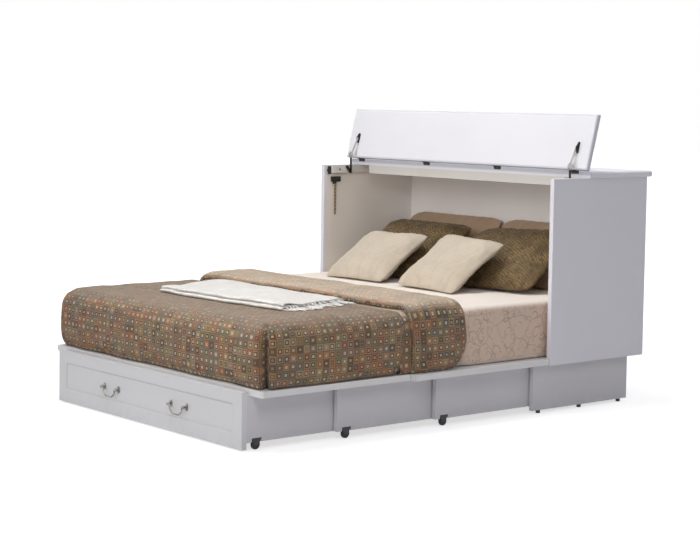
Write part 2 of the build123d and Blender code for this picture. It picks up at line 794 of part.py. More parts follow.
def build_bedding():
    third = (mattress_head_y - mattress_foot_y - 2 * mattress_split) / 3
    groove_reach = board_hinge_length / 2 + soft_clearance
    blocks = []
    for n in range(3):
        y0 = mattress_foot_y + n * (third + mattress_split)
        cushion = block(-half_mattress, half_mattress, y0, y0 + third, mattress_bottom, mattress_top)
        for x in board_hinge_spots:
            x0, x1 = x - groove_reach, x + groove_reach
            cushion -= x_rod(x0, x1, fold_hinge_y, fold_hinge_z, knuckle_radius + soft_clearance)
        blocks.append(cushion)

    inner_half = half_mattress + soft_clearance
    inner_top = mattress_top + soft_clearance
    inner_foot = mattress_foot_y - soft_clearance
    hem = board_top + coverlet_hem
    outer_half = inner_half + coverlet_thickness
    outer_foot = inner_foot - coverlet_thickness
    cover_top = inner_top + coverlet_thickness
    coverlet = block(-outer_half, outer_half, outer_foot, coverlet_end_y, hem, cover_top)
    coverlet -= block(-inner_half, inner_half, inner_foot, coverlet_end_y, hem, inner_top)

    fold_half = inner_half + turndown_side_thickness
    fold_top = inner_top + turndown_top_thickness
    turndown = block(-fold_half, fold_half, turndown_front_y, turndown_back_y, hem, fold_top)
    turndown -= block(-inner_half, inner_half, turndown_front_y, turndown_back_y, hem, inner_top)

    throw_z = cover_top + soft_clearance
    length = coverlet_end_y - outer_foot
    corners = [(x, coverlet_end_y - share * length) for x, share in throw_corners]
    outline = Polygon(*corners, align=None)
    throw = extrude(Pos(0, 0, throw_z) * outline, throw_thickness)
    return {
        "mattress": Compound(blocks),
        "coverlet": coverlet,
        "coverlet_turndown": turndown,
        "throw_blanket": throw,
    }


def write_part():
    os.makedirs("parts", exist_ok=True)
    pieces = {}
    for build in (
        build_cabinet,
        build_hinges,
        build_boards,
        build_base,
        build_drawer,
        build_stays,
        build_chain,
        build_catches,
        build_pillows,
        build_bedding,
    ):
        pieces.update(build())
    pieces["pull_posts"] = Compound(pull_posts(-pull_offset) + pull_posts(pull_offset))
    pieces["bail_left"] = bail(-pull_offset)
    pieces["bail_right"] = bail(pull_offset)
    for name, shape in pieces.items():
        export_step(Pos(0, -footprint_middle_y, 0) * shape, f"parts/{name}.step")
    print(len(pieces), "nodes; footprint middle", footprint_middle_y)


write_part()
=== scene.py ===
import math
import random
from functools import partial

import bmesh
import bpy
import numpy as np
from mathutils import Matrix, Vector, noise
from mathutils.bvhtree import BVHTree


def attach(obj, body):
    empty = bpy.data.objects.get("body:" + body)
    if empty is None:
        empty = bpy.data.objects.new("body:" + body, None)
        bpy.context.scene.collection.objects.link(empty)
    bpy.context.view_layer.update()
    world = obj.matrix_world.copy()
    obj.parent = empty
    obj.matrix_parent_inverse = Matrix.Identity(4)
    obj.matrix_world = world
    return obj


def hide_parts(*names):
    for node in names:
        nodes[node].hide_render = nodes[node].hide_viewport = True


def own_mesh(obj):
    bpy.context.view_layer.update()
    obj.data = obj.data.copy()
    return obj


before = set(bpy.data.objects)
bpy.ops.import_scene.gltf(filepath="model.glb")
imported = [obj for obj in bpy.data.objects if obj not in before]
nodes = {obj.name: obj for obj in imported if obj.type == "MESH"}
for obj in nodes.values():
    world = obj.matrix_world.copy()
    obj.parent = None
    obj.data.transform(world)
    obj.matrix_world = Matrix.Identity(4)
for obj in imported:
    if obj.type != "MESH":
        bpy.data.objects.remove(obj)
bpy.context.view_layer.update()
scene = bpy.context.scene
print("cabinet bed: frame loaded with", len(nodes), "nodes")


# small helpers for node trees: a new node goes into the tree that its inputs come from

def join(value, socket):
    if isinstance(value, bpy.types.NodeSocket):
        socket.id_data.links.new(value, socket)
    elif isinstance(value, tuple) and socket.type == "RGBA":
        socket.default_value = (*value, 1.0)
    else:
        socket.default_value = value


def joinAll(sockets, **values):
    for label, value in values.items():
        join(value, sockets[label.replace("_", " ")])


def newNode(kind, inputs, output=0, **settings):
    # inputs goes from the name or number of a socket to a value or another node's output
    tree = next(value.id_data for value in inputs.values() if isinstance(value, bpy.types.NodeSocket))
    node = tree.nodes.new("ShaderNode" + kind)
    for label, value in settings.items():
        setattr(node, label, value)
    for label, value in inputs.items():
        join(value, node.inputs[label])
    return node.outputs[output]


def maths(operation, *values, clamp=False):
    return newNode("Math", dict(enumerate(values)), operation=operation, use_clamp=clamp)


plus = partial(maths, "ADD")
minus = partial(maths, "SUBTRACT")
times = partial(maths, "MULTIPLY")
timesPlus = partial(maths, "MULTIPLY_ADD")
larger = partial(maths, "MAXIMUM")
absolute = partial(maths, "ABSOLUTE")


def vectorMaths(operation, a, b=(0.0, 0.0, 0.0)):
    output = "Value" if operation == "LENGTH" else "Vector"
    return newNode("VectorMath", {0: a, 3 if operation == "SCALE" else 1: b}, output, operation=operation)


stretch = partial(vectorMaths, "MULTIPLY")
scaled = partial(vectorMaths, "SCALE")
lengthOf = partial(vectorMaths, "LENGTH")


def mixColours(factor, a, b):
    return newNode("Mix", {0: factor, 6: a, 7: b}, 2, data_type="RGBA")


def noiseField(vector, scale, detail=3.0, roughness=0.5, output="Fac"):
    return newNode("TexNoise", dict(Vector=vector, Scale=scale, Detail=detail, Roughness=roughness), output)


def voronoi(vector, scale, randomness=1.0, feature="F1"):
    inputs = dict(Vector=vector, Scale=scale, Randomness=randomness)
    return newNode("TexVoronoi", inputs, voronoi_dimensions="2D", feature=feature).node.outputs


def colourRamp(factor, stops, interpolation="LINEAR"):
    colour = newNode("ValToRGB", {0: factor})
    ramp = colour.node.color_ramp
    ramp.interpolation = interpolation
    while len(ramp.elements) < len(stops):
        ramp.elements.new(1.0)
    for element, (place, stop) in zip(ramp.elements, stops):
        element.position = place
        element.color = (*stop, 1.0)
    return colour


def spread(value, low, high, newLow=0.0, newHigh=1.0):
    return newNode("MapRange", dict(enumerate((value, low, high, newLow, newHigh))))


def warped(vector, scale, amount):
    # bends a place by a little noise
    wander = noiseField(vector, scale, 2.0, 0.5, "Color")
    return vectorMaths("ADD", vector, scaled(wander, amount))


def splitVector(vector):
    return newNode("SeparateXYZ", {0: vector}).node.outputs


def makeVector(x, y, z=0.0):
    return newNode("CombineXYZ", {0: x, 1: y, 2: z})


def newGroup(name, ins, *outs):
    # a default of None makes a vector socket, a tuple a colour, and a number a value
    tree = bpy.data.node_groups.new(name, "ShaderNodeTree")
    for label, value in ins.items():
        kind = "Vector" if value is None else "Color" if isinstance(value, tuple) else "Float"
        socket = tree.interface.new_socket(name=label, in_out="INPUT", socket_type="NodeSocket" + kind)
        if value is not None:
            socket.default_value = value
    for label in outs:
        kind = "Color" if label == "Colour" else "Float"
        tree.interface.new_socket(name=label, in_out="OUTPUT", socket_type="NodeSocket" + kind)
    return tree, tree.nodes.new("NodeGroupInput").outputs, tree.nodes.new("NodeGroupOutput").inputs


def useGroup(group, **values):
    return newNode("Group", values, node_tree=group).node.outputs


# shared effects, each built once as a group
grey = (0.5, 0.5, 0.5, 1.0)


def buildThreadWeave():
    # over-and-under threads; Vector is in metres along the cloth
    ins = dict(Vector=None, Threads=900.0, Slub=0.3)
    tree, given, out = newGroup("Thread weave", ins, "Height", "Warp", "Slubs")
    x, y, _ = splitVector(warped(given["Vector"], 35.0, 0.0015))
    turn = times(given["Threads"], math.pi)
    across = maths("SINE", times(x, turn))
    along = maths("SINE", times(y, turn))
    over = timesPlus(times(across, along), 2.5, 0.5, clamp=True)
    height = plus(times(absolute(across), over), times(absolute(along), minus(1.0, over)))
    long = noiseField(stretch(given["Vector"], (260.0, 18.0, 1.0)), 1.0, 2.0)
    tall = noiseField(stretch(given["Vector"], (18.0, 260.0, 1.0)), 1.0, 2.0)
    slubs = times(spread(larger(long, tall), 0.5, 0.8), given["Slub"])
    joinAll(out, Height=plus(height, slubs), Warp=over, Slubs=slubs)
    return tree


def buildClothTone():
    # soft blotches and fine lint towards the shade, rougher where the lint lies
    ins = dict(Vector=None, Colour=grey, Shade=grey, Amount=0.3)
    tree, given, out = newGroup("Cloth tone", ins, "Colour", "Roughness")
    broad = spread(noiseField(given["Vector"], 3.2, 3.0, 0.6), 0.35, 0.72)
    fine = spread(noiseField(given["Vector"], 160.0, 4.0, 0.7), 0.35, 0.75)
    mask = times(timesPlus(broad, 0.6, times(fine, 0.4)), given["Amount"], clamp=True)
    toned = mixColours(mask, given["Colour"], given["Shade"])
    joinAll(out, Colour=toned, Roughness=spread(fine, 0.0, 1.0, 0.78, 0.96))
    return tree


def buildClothCreases():
    # soft wandering creases; Size is how many to the metre; Shade is painted shade for the crease valleys
    tree, given, out = newGroup("Cloth creases", dict(Vector=None, Size=8.0), "Height", "Shade")
    bent = scaled(warped(given["Vector"], 7.0, 0.05), given["Size"])
    stretched = stretch(bent, (1.6, 0.7, 1.0))
    field = noiseField(stretched, 1.0, 2.0, 0.45)
    crease = spread(absolute(minus(field, 0.5)), 0.110, 0.0)
    height = timesPlus(field, 2.0, times(crease, -0.35))
    joinAll(out, Height=height, Shade=times(crease, spread(field, 0.40, 0.56)))
    return tree


def buildBoardFinish():
    # fine orange peel, faint mottling, and handling marks that dull the sheen
    ins = dict(Vector=None, Colour=grey, Soil=grey, Gloss=0.35, Scuffs=0.0)
    tree, given, out = newGroup("Board finish", ins, "Colour", "Roughness", "Height")
    place = given["Vector"]
    mottle = spread(noiseField(place, 2.4, 4.0, 0.6), 0.42, 0.75)
    specks = spread(noiseField(place, 210.0, 2.0, 0.5), 0.70, 0.76)
    low = times(spread(splitVector(place)[2], 0.10, 0.0), spread(noiseField(place, 22.0, 3.0), 0.42, 0.62))
    soil = timesPlus(low, given["Scuffs"], plus(times(mottle, 0.07), times(specks, 0.10)), clamp=True)
    smears = noiseField(stretch(place, (1.0, 1.0, 3.0)), 6.0, 3.0, 0.6)
    rough = timesPlus(spread(smears, 0.35, 0.7), 0.14, given["Gloss"])
    height = timesPlus(mottle, 0.25, noiseField(place, 420.0, 2.0, 0.5))
    joinAll(out, Colour=mixColours(soil, given["Colour"], given["Soil"]), Roughness=rough, Height=height)
    return tree


def buildMetalFinish():
    # brushed lines along one way, rubbed and tarnished patches
    ins = dict(Vector=None, Colour=grey, Tarnish=grey, Patches=0.5, Gloss=0.3)
    tree, given, out = newGroup("Metal finish", ins, "Colour", "Roughness", "Height")
    patch = spread(noiseField(given["Vector"], 70.0, 4.0, 0.65), 0.42, 0.68)
    lines = noiseField(stretch(given["Vector"], (1.0, 40.0, 40.0)), 60.0, 3.0, 0.6)
    mask = times(patch, given["Patches"], clamp=True)
    toned = mixColours(mask, given["Colour"], given["Tarnish"])
    rough = timesPlus(mask, 0.25, timesPlus(lines, 0.12, given["Gloss"]))
    joinAll(out, Colour=toned, Roughness=rough, Height=timesPlus(patch, 0.5, times(lines, 0.5)))
    return tree


threadWeave = buildThreadWeave()
clothTone = buildClothTone()
clothCreases = buildClothCreases()
boardFinish = buildBoardFinish()
metalFinish = buildMetalFinish()


# materials, each with its own shader
materials = {}


def newMaterial(name, **constants):
    material = bpy.data.materials.new(name)
    material.use_nodes = True
    materials[name] = material
    sockets = material.node_tree.nodes["Principled BSDF"].inputs
    joinAll(sockets, **constants)
    return sockets, material.node_tree


def objectPlace(tree):
    return tree.nodes.new("ShaderNodeTexCoord").outputs["Object"]


def clothPlace(tree):
    # the cloth's own map, in metres along the width and the length
    node = tree.nodes.new("ShaderNodeAttribute")
    node.attribute_name = "cloth"
    return node.outputs["Vector"]


def flatAndThird(place):
    # the cloth map laid flat, and its third number by itself
    return stretch(place, (1.0, 1.0, 0.0)), splitVector(place)[2]


def woven(place, colour, look):
    # the tone and the weave that every cloth has
    tone = useGroup(clothTone, Vector=place, Colour=colour, Shade=look["shade"], Amount=look["amount"])
    return tone, useGroup(threadWeave, Vector=place, Threads=look["threads"], Slub=look["slub"])


def shadeWith(sockets, colour, roughness, height, distance, strength):
    # the bump stands height times distance off the surface
    bump = newNode("Bump", dict(Height=height, Distance=distance, Strength=strength))
    joinAll(sockets, Base_Color=colour, Roughness=roughness, Normal=bump)


boardFinishes = {
    "laminate": dict(colour=(0.80, 0.79, 0.845), soil=(0.66, 0.65, 0.66), gloss=0.36, scuffs=0.12),
    # the lid's soil colour is also the blue-grey of its painted shade at the hinges and edges
    "lidBoard": dict(colour=(0.79, 0.79, 0.835), soil=(0.40, 0.42, 0.49), gloss=0.32, scuffs=0.0),
    "boardCore": dict(colour=(0.80, 0.795, 0.79), soil=(0.68, 0.66, 0.62), gloss=0.46, scuffs=0.0),
    # the base's boards are the cabinet's white painted darker and greyer, as painted shade
    "baseBoard": dict(colour=(0.68, 0.665, 0.695), soil=(0.54, 0.52, 0.52), gloss=0.42, scuffs=0.20),
    "innerBoard": dict(colour=(0.70, 0.68, 0.64), soil=(0.50, 0.46, 0.38), gloss=0.44, scuffs=0.0),
    # the drawer front is the cabinet's white painted greyer, as painted shade
    "drawerFace": dict(colour=(0.72, 0.72, 0.74), soil=(0.52, 0.51, 0.52), gloss=0.34, scuffs=0.16),
}
niche = dict(
    halfWidth=0.780, front=0.520, back=1.098, top=1.024, nicheTint=(0.85, 0.79, 0.715),
    farNicheTint=(0.93, 0.905, 0.875), hinge=0.712, hingeTop=1.034, hingeShade=(0.46, 0.48, 0.55),
)
lidEdges = dict(hinge=1.066, side=0.812, top=1.298)
sunkField = dict(halfWidth=0.620, halfHeight=0.057, middle=0.124)


def nicheColours(look, x, y, z):
    # the faces round the niche are coloured warmer than the outer faces, paler towards the back
    n = niche
    within = times(maths("GREATER_THAN", y, n["front"]), maths("LESS_THAN", y, n["back"]))
    within = times(within, maths("LESS_THAN", z, n["top"]))
    inside = times(maths("LESS_THAN", absolute(x), n["halfWidth"]), within)
    nicheTint = mixColours(spread(y, 0.60, 1.09), n["nicheTint"], n["farNicheTint"])
    colour = mixColours(inside, look["colour"], nicheTint)
    # shade along the top's hinged edge
    hinged = times(spread(y, n["hinge"], n["hinge"] - 0.006), spread(z, n["hingeTop"], n["hingeTop"] + 0.008))
    return mixColours(times(hinged, 0.8), colour, n["hingeShade"])


def lidPaintedShade(look, x, y, z):
    # painted shade: a painted shadow along the lid's hinges and a thin painted shade line along its outer
    # edges, both in the lid's soil colour
    e = lidEdges
    hingeShadow = spread(z, e["hinge"] + 0.008, e["hinge"], 0.0, 0.75)
    sideEdgeShade = spread(absolute(x), e["side"], e["side"] + 0.004)
    edgeShade = larger(sideEdgeShade, spread(z, e["top"], e["top"] + 0.004))
    return mixColours(larger(hingeShadow, times(edgeShade, 0.45)), look["colour"], look["soil"])


def fieldDustAndShade(look, x, y, z):
    # dust and painted shade in the bevel round the sunk field
    f = sunkField
    past = larger(minus(absolute(x), f["halfWidth"]), minus(absolute(minus(z, f["middle"])), f["halfHeight"]))
    grooveDustAndShade = spread(absolute(plus(past, 0.0025)), 0.0045, 0.0025, 0.0, 0.6)
    return mixColours(grooveDustAndShade, look["colour"], look["soil"])


boardColours = {"laminate": nicheColours, "lidBoard": lidPaintedShade, "drawerFace": fieldDustAndShade}


def boardMaterial(name, look):
    sockets, tree = newMaterial(name)
    place = objectPlace(tree)
    colour = look["colour"]
    if name in boardColours:
        colour = boardColours[name](look, *splitVector(place))
    wear = dict(Soil=look["soil"], Gloss=look["gloss"], Scuffs=look["scuffs"])
    made = useGroup(boardFinish, Vector=place, Colour=colour, **wear)
    shadeWith(sockets, made["Colour"], made["Roughness"], made["Height"], 0.00012, 0.35)


metalFinishes = {
    "blackIron": dict(colour=(0.020, 0.019, 0.018), tarnish=(0.060, 0.052, 0.045), patches=0.6, gloss=0.38),
    "zinc": dict(colour=(0.58, 0.60, 0.62), tarnish=(0.40, 0.41, 0.42), patches=0.7, gloss=0.30),
    "nickel": dict(colour=(0.56, 0.545, 0.52), tarnish=(0.34, 0.32, 0.29), patches=0.5, gloss=0.24),
    "pewter": dict(colour=(0.36, 0.345, 0.32), tarnish=(0.07, 0.062, 0.055), patches=0.8, gloss=0.30),
    "bronzeChain": dict(colour=(0.26, 0.17, 0.085), tarnish=(0.07, 0.05, 0.035), patches=0.8, gloss=0.34),
    "stayArms": dict(colour=(0.56, 0.545, 0.52), tarnish=(0.34, 0.32, 0.29), patches=0.25, gloss=0.24),
}
metallic = {"blackIron": 0.35, "bronzeChain": 0.9}  # the others are bare metal
knuckle = dict(place=(0.0, 0.64765, 1.078), radius=0.0162, iron=(0.035, 0.032, 0.030))


def metalMaterial(name, look):
    sockets, tree = newMaterial(name, Metallic=metallic.get(name, 1.0))
    place = objectPlace(tree)
    colour = look["colour"]
    if name == "stayArms":
        # a bright round knuckle on a blackened lower arm
        _, y, z = splitVector(vectorMaths("SUBTRACT", place, knuckle["place"]))
        away = lengthOf(makeVector(y, z))
        colour = mixColours(maths("GREATER_THAN", away, knuckle["radius"]), colour, knuckle["iron"])
    wear = dict(Tarnish=look["tarnish"], Patches=look["patches"], Gloss=look["gloss"])
    made = useGroup(metalFinish, Vector=place, Colour=colour, **wear)
    shadeWith(sockets, made["Colour"], made["Roughness"], made["Height"], 0.0001, 0.5)


plastics = {
    "blackPlastic": dict(colour=(0.018, 0.018, 0.019), scuff=(0.060, 0.058, 0.055), roughness=0.38),
    "wheelRubber": dict(colour=(0.022, 0.021, 0.020), scuff=(0.080, 0.075, 0.068), roughness=0.62),
}


def plasticMaterial(name, look):
    sockets, tree = newMaterial(name)
    place = objectPlace(tree)
    scuffs = spread(noiseField(place, 140.0, 4.0, 0.7), 0.55, 0.75)
    rough = spread(scuffs, 0.0, 1.0, look["roughness"], look["roughness"] + 0.2)
    colour = mixColours(scuffs, look["colour"], look["scuff"])
    shadeWith(sockets, colour, rough, noiseField(place, 900.0, 2.0), 0.00008, 0.4)


plies = {"drawerPly": [(0.30, (0.52, 0.40, 0.25)), (0.55, (0.66, 0.54, 0.37)), (0.75, (0.74, 0.63, 0.46))]}


def plyMaterial(name, stops):
    # pale birch ply with a long grain along the board
    sockets, tree = newMaterial(name)
    x, y, z = splitVector(objectPlace(tree))
    grain = noiseField(makeVector(times(x, 2.0), times(y, 2.0), times(z, 60.0)), 4.0, 5.0, 0.6)
    shadeWith(sockets, colourRamp(grain, stops), spread(grain, 0.3, 0.7, 0.5, 0.38), grain, 0.0002, 0.5)


squareColours = dict(
    ground=[
        (0.00, (0.443, 0.202, 0.077)), (0.14, (0.356, 0.209, 0.130)), (0.26, (0.262, 0.205, 0.085)),
        (0.40, (0.188, 0.173, 0.144)), (0.52, (0.416, 0.298, 0.147)), (0.64, (0.127, 0.074, 0.040)),
        (0.78, (0.376, 0.125, 0.057)), (0.88, (0.215, 0.145, 0.088)),
    ],
    ring=[
        (0.00, (0.037, 0.020, 0.011)), (0.36, (0.041, 0.044, 0.045)), (0.56, (0.138, 0.034, 0.017)),
        (0.68, (0.078, 0.066, 0.026)), (0.80, (0.184, 0.105, 0.054)), (0.90, (0.331, 0.209, 0.123)),
    ],
    heart=[
        (0.00, (0.604, 0.524, 0.334)), (0.30, (0.485, 0.429, 0.250)), (0.46, (0.590, 0.378, 0.212)),
        (0.60, (0.459, 0.429, 0.339)), (0.76, (0.623, 0.555, 0.389)), (0.88, (0.302, 0.189, 0.094)),
    ],
    line=[
        (0.00, (0.216, 0.091, 0.045)), (0.36, (0.176, 0.137, 0.071)), (0.66, (0.104, 0.095, 0.080)),
        (0.84, (0.160, 0.080, 0.042)),
    ],
)
squares = dict(
    size=0.032, shade=(0.16, 0.110, 0.075), amount=0.24, threads=620.0, slub=0.4, warp=(0.34, 0.24, 0.16),
    # pleat is the painted shade deep in a pleat
    pleat=(0.012, 0.009, 0.006),
)
squareLooks = {
    # the first colour is a painted top tone, painted light on the faces that look up, and wear is how much of
    # it goes in
    "coverletSquares": dict(worn=(0.215, 0.172, 0.135), wear=0.55),
    "turnedDownSquares": dict(worn=(0.72, 0.60, 0.47), wear=0.50),
}


def squaresMaterial(name, look):
    # nested squares, each ring with a colour of its own; above 0 the map's third number blends the faces that
    # look up to a painted top tone, painted light, and below 0 it is painted shade deep in a pleat
    sockets, tree = newMaterial(name, Sheen_Weight=0.10, Sheen_Roughness=0.5)
    flat, third = flatAndThird(clothPlace(tree))
    deep = times(third, -0.9, clamp=True)
    perMetre = 1.0 / squares["size"]
    cells = stretch(warped(flat, 40.0, 0.003), (perMetre, perMetre, 0.0))
    x, y, _ = splitVector(vectorMaths("FRACTION", cells))
    fromMiddle = larger(absolute(minus(x, 0.5)), absolute(minus(y, 0.5)))
    pick = splitVector(newNode("TexWhiteNoise", {"Vector": vectorMaths("FLOOR", cells)}, "Color"))
    lineChoice = maths("FRACT", times(plus(pick[0], pick[2]), 3.7))
    choices = dict(ground=pick[0], ring=pick[1], heart=pick[2], line=lineChoice)
    tint = {part: colourRamp(choice, squareColours[part], "CONSTANT") for part, choice in choices.items()}
    heartEdge = spread(minus(fromMiddle, timesPlus(pick[1], 0.05, 0.135)), 0.0, 0.025)
    colour = mixColours(heartEdge, tint["heart"], tint["ring"])
    colour = mixColours(spread(fromMiddle, 0.27, 0.295), colour, tint["ground"])
    colour = mixColours(spread(fromMiddle, 0.430, 0.455), colour, tint["line"])
    tone, weave = woven(flat, colour, squares)
    colour = mixColours(times(weave["Warp"], 0.10), tone["Colour"], squares["warp"])
    patchy = spread(noiseField(flat, 6.0, 3.0), 0.35, 0.65, 0.80, 1.15)
    # painted light: the faces that look up are blended, in patches, to the painted top tone
    colour = mixColours(times(times(larger(third, 0.0), look["wear"]), patchy), colour, look["worn"])
    # painted shade deep in the pleats
    colour = mixColours(deep, colour, squares["pleat"])
    height = timesPlus(spread(fromMiddle, 0.5, 0.38), 2.5, weave["Height"])  # the squares puff up
    shadeWith(sockets, colour, tone["Roughness"], height, 0.0007, 0.6)


def scrollCurls(place, size, seed):
    # one open curl in each cell, wound either way
    moved = vectorMaths("ADD", place, (seed, seed * 0.6, 0.0))
    cell = voronoi(moved, size, 0.8)
    offset = scaled(vectorMaths("SUBTRACT", moved, cell["Position"]), size)
    x, y, _ = splitVector(offset)
    pick = splitVector(cell["Color"])
    angle = plus(maths("DIVIDE", maths("ARCTAN2", y, x), 2.0 * math.pi), pick[1])
    side = timesPlus(maths("GREATER_THAN", pick[0], 0.5), 2.0, -1.0)
    reach = lengthOf(offset)
    turns = timesPlus(maths("POWER", reach, 0.75), 2.5, times(angle, side))
    line = absolute(minus(maths("FRACT", turns), 0.5))
    drawn = minus(0.075, minus(line, times(reach, 0.07)))
    return times(spread(drawn, 0.0, 0.05), spread(reach, 0.60, 0.50))


scrolls = {
    "scrollSheet": dict(
        # top is the painted light colour of the faces that look up
        size=16.0, cloth=(0.76, 0.58, 0.46), print=(0.33, 0.215, 0.15), top=(0.95, 0.895, 0.825),
        shade=(0.64, 0.51, 0.41), amount=0.16, threads=1500.0, slub=0.1,
    ),
}


def scrollMaterial(name, look):
    # a cotton sheet printed with loose curls on thin stems; its top is painted paler than its sides, as
    # painted light
    sockets, tree = newMaterial(name, Sheen_Weight=0.2)
    flat, third = flatAndThird(clothPlace(tree))
    bent = warped(flat, 11.0, 0.030)
    curls = larger(scrollCurls(bent, look["size"], 0.0), scrollCurls(bent, look["size"] * 1.7, 3.7))
    stems = voronoi(bent, look["size"] * 0.6, feature="DISTANCE_TO_EDGE")
    printed = larger(curls, spread(stems["Distance"], 0.022, 0.010))
    printed = times(printed, spread(noiseField(flat, 14.0, 3.0), 0.3, 0.6, 0.25, 0.60))
    colour = mixColours(printed, look["cloth"], look["print"])
    # painted light: the faces that look up are blended towards the pale top colour
    colour = mixColours(times(larger(third, 0.0), 0.8), colour, look["top"])
    tone, weave = woven(flat, colour, look)
    shadeWith(sockets, tone["Colour"], tone["Roughness"], weave["Height"], 0.0002, 0.4)


plainCloths = {
    "throwWeave": dict(
        colour=(0.93, 0.92, 0.90), shade=(0.56, 0.52, 0.46), amount=0.55, threads=110.0, slub=1.0,
        relief=0.0030, sheen=0.4, creases=9.0, depth=0.6,
    ),
    "creamLinen": dict(
        colour=(0.675, 0.590, 0.475), shade=(0.40, 0.32, 0.235), amount=0.50, threads=760.0, slub=0.7,
        relief=0.0006, sheen=0.25, creases=9.0, depth=14.0,
    ),
    "brownSatin": dict(
        colour=(0.50, 0.345, 0.220), shade=(0.33, 0.220, 0.140), amount=0.5, threads=1700.0, slub=0.2,
        relief=0.0003, sheen=0.15, creases=5.0, depth=24.0,
    ),
}


def plainClothMaterial(name, look):
    sockets, tree = newMaterial(name, Sheen_Weight=look["sheen"], Sheen_Roughness=0.45)
    place = clothPlace(tree)
    tone, weave = woven(place, look["colour"], look)
    creases = useGroup(clothCreases, Vector=place, Size=look["creases"])
    # slubs, and painted shade along the crease valleys
    marks = timesPlus(weave["Slubs"], 0.5, times(creases["Shade"], 0.22), clamp=True)
    colour = mixColours(marks, tone["Colour"], look["shade"])
    height = timesPlus(creases["Height"], look["depth"], weave["Height"])
    shadeWith(sockets, colour, tone["Roughness"], height, look["relief"], 0.6)


brocades = {
    "goldBrocade": dict(
        ribs=(220.0, 450.0), low=(0.042, 0.021, 0.005), high=(0.285, 0.178, 0.056),
        spots=(0.052, 0.040, 0.020), shade=(0.085, 0.058, 0.024), amount=0.45, threads=900.0, slub=0.5,
        creases=7.0, depth=16.0, relief=0.0007,
    ),
}


def brocadeMaterial(name, look):
    # old gold, with a slanting rib and scattered dark motifs
    sockets, tree = newMaterial(name, Sheen_Weight=0.08, Sheen_Roughness=0.4)
    place = clothPlace(tree)
    x, y, _ = splitVector(place)
    slant = plus(times(x, look["ribs"][0]), times(y, look["ribs"][1]))
    ripple = times(noiseField(place, 26.0, 4.0), 17.0)
    rib = timesPlus(maths("SINE", plus(slant, ripple)), 0.5, 0.5)
    motif = voronoi(warped(place, 60.0, 0.012), 21.0, 0.85)
    spots = times(spread(motif["Distance"], 0.26, 0.14), spread(noiseField(place, 120.0, 2.0), 0.35, 0.55))
    patches = spread(noiseField(place, 17.0, 4.0, 0.65), 0.36, 0.62)
    lit = times(timesPlus(rib, 0.65, 0.35), timesPlus(patches, 0.75, 0.25))
    colour = mixColours(spots, mixColours(lit, look["low"], look["high"]), look["spots"])
    tone, weave = woven(place, colour, look)
    creases = useGroup(clothCreases, Vector=place, Size=look["creases"])
    height = timesPlus(creases["Height"], look["depth"], timesPlus(rib, 1.5, weave["Height"]))
    shadeWith(sockets, tone["Colour"], spread(rib, 0.0, 1.0, 0.78, 0.5), height, look["relief"], 0.6)


for build, looks in (
    (boardMaterial, boardFinishes), (metalMaterial, metalFinishes), (plainClothMaterial, plainCloths),
    (plasticMaterial, plastics), (plyMaterial, plies), (squaresMaterial, squareLooks),
    (scrollMaterial, scrolls), (brocadeMaterial, brocades),
):
    for name, look in looks.items():
        build(name, look)
print("materials made:", len(materials))


# a CAD node wears the first of these finishes that has one of its words in the node's name
finishWords = {
    "wheelRubber": "wheel", "blackPlastic": "forks glides catches housing", "bronzeChain": "chain",
    "pewter": "pull bail", "stayArms": "lower_arm", "nickel": "upper_arm rods",
    "blackIron": "lid_hinge brackets", "zinc": "leaves runner", "drawerPly": "drawer_box drawer_floor",
    "drawerFace": "drawer_front", "baseBoard": "sides rear_board", "lidBoard": "lid_panel",
    "innerBoard": "battens", "boardCore": "cabinet_floor front_panel foot_panel",
    "laminate": "side_panel back_panel fixed_top",
}
dressed = 0
for name, node in nodes.items():
    for finish, words in finishWords.items():
        if any(word in name for word in words.split()):
            if not node.material_slots:
                node.data.materials.append(materials[finish])
            for slot in node.material_slots:
                slot.material = materials[finish]
            dressed += 1
            break
print("CAD nodes dressed:", dressed)


# small helpers for meshes

def makeObject(name, mesh, finish):
    piece = bpy.data.objects.new(name, mesh)
    scene.collection.objects.link(piece)
    mesh.materials.append(materials[finish])
    for polygon in mesh.polygons:
        polygon.use_smooth = True
    return piece


def setClothMap(mesh, places):
    layer = mesh.attributes.get("cloth") or mesh.attributes.new("cloth", "FLOAT_VECTOR", "POINT")
    layer.data.foreach_set("vector", np.asarray(places, dtype=np.float32).ravel())


def paintTopLightAndPleatShade(mesh, cloth, low, high, pleatShadeMask=0.0):
    # the cloth map's third number: 1 where the cloth faces up, 0 where it hangs, below 0 deep in a pleat; it
    # carries painted light on the top and painted shade in the pleats
    ups = np.zeros(len(mesh.vertices) * 3)
    mesh.vertex_normals.foreach_get("vector", ups)
    cloth = np.array(cloth, float).reshape(-1, 3)
    cloth[:, 2] = smoothStep(np.abs(ups[2::3]), low, high) - pleatShadeMask
    setClothMap(mesh, cloth)


def pointsOf(mesh):
    return np.array([v.co for v in mesh.vertices])


def movePoints(mesh, places):
    mesh.vertices.foreach_set("co", places.ravel())
    mesh.update()


def gridMesh(name, places, cloth):
    # places and cloth are (rows, columns, 3); rows and columns make one open sheet
    rows, columns = places.shape[:2]
    index = np.arange(rows * columns).reshape(rows, columns)
    faces = np.stack([index[:-1, :-1], index[:-1, 1:], index[1:, 1:], index[1:, :-1]], -1).reshape(-1, 4)
    mesh = bpy.data.meshes.new(name)
    mesh.from_pydata(places.reshape(-1, 3).tolist(), [], faces.tolist())
    mesh.update()
    setClothMap(mesh, cloth.reshape(-1, 3))
    return mesh


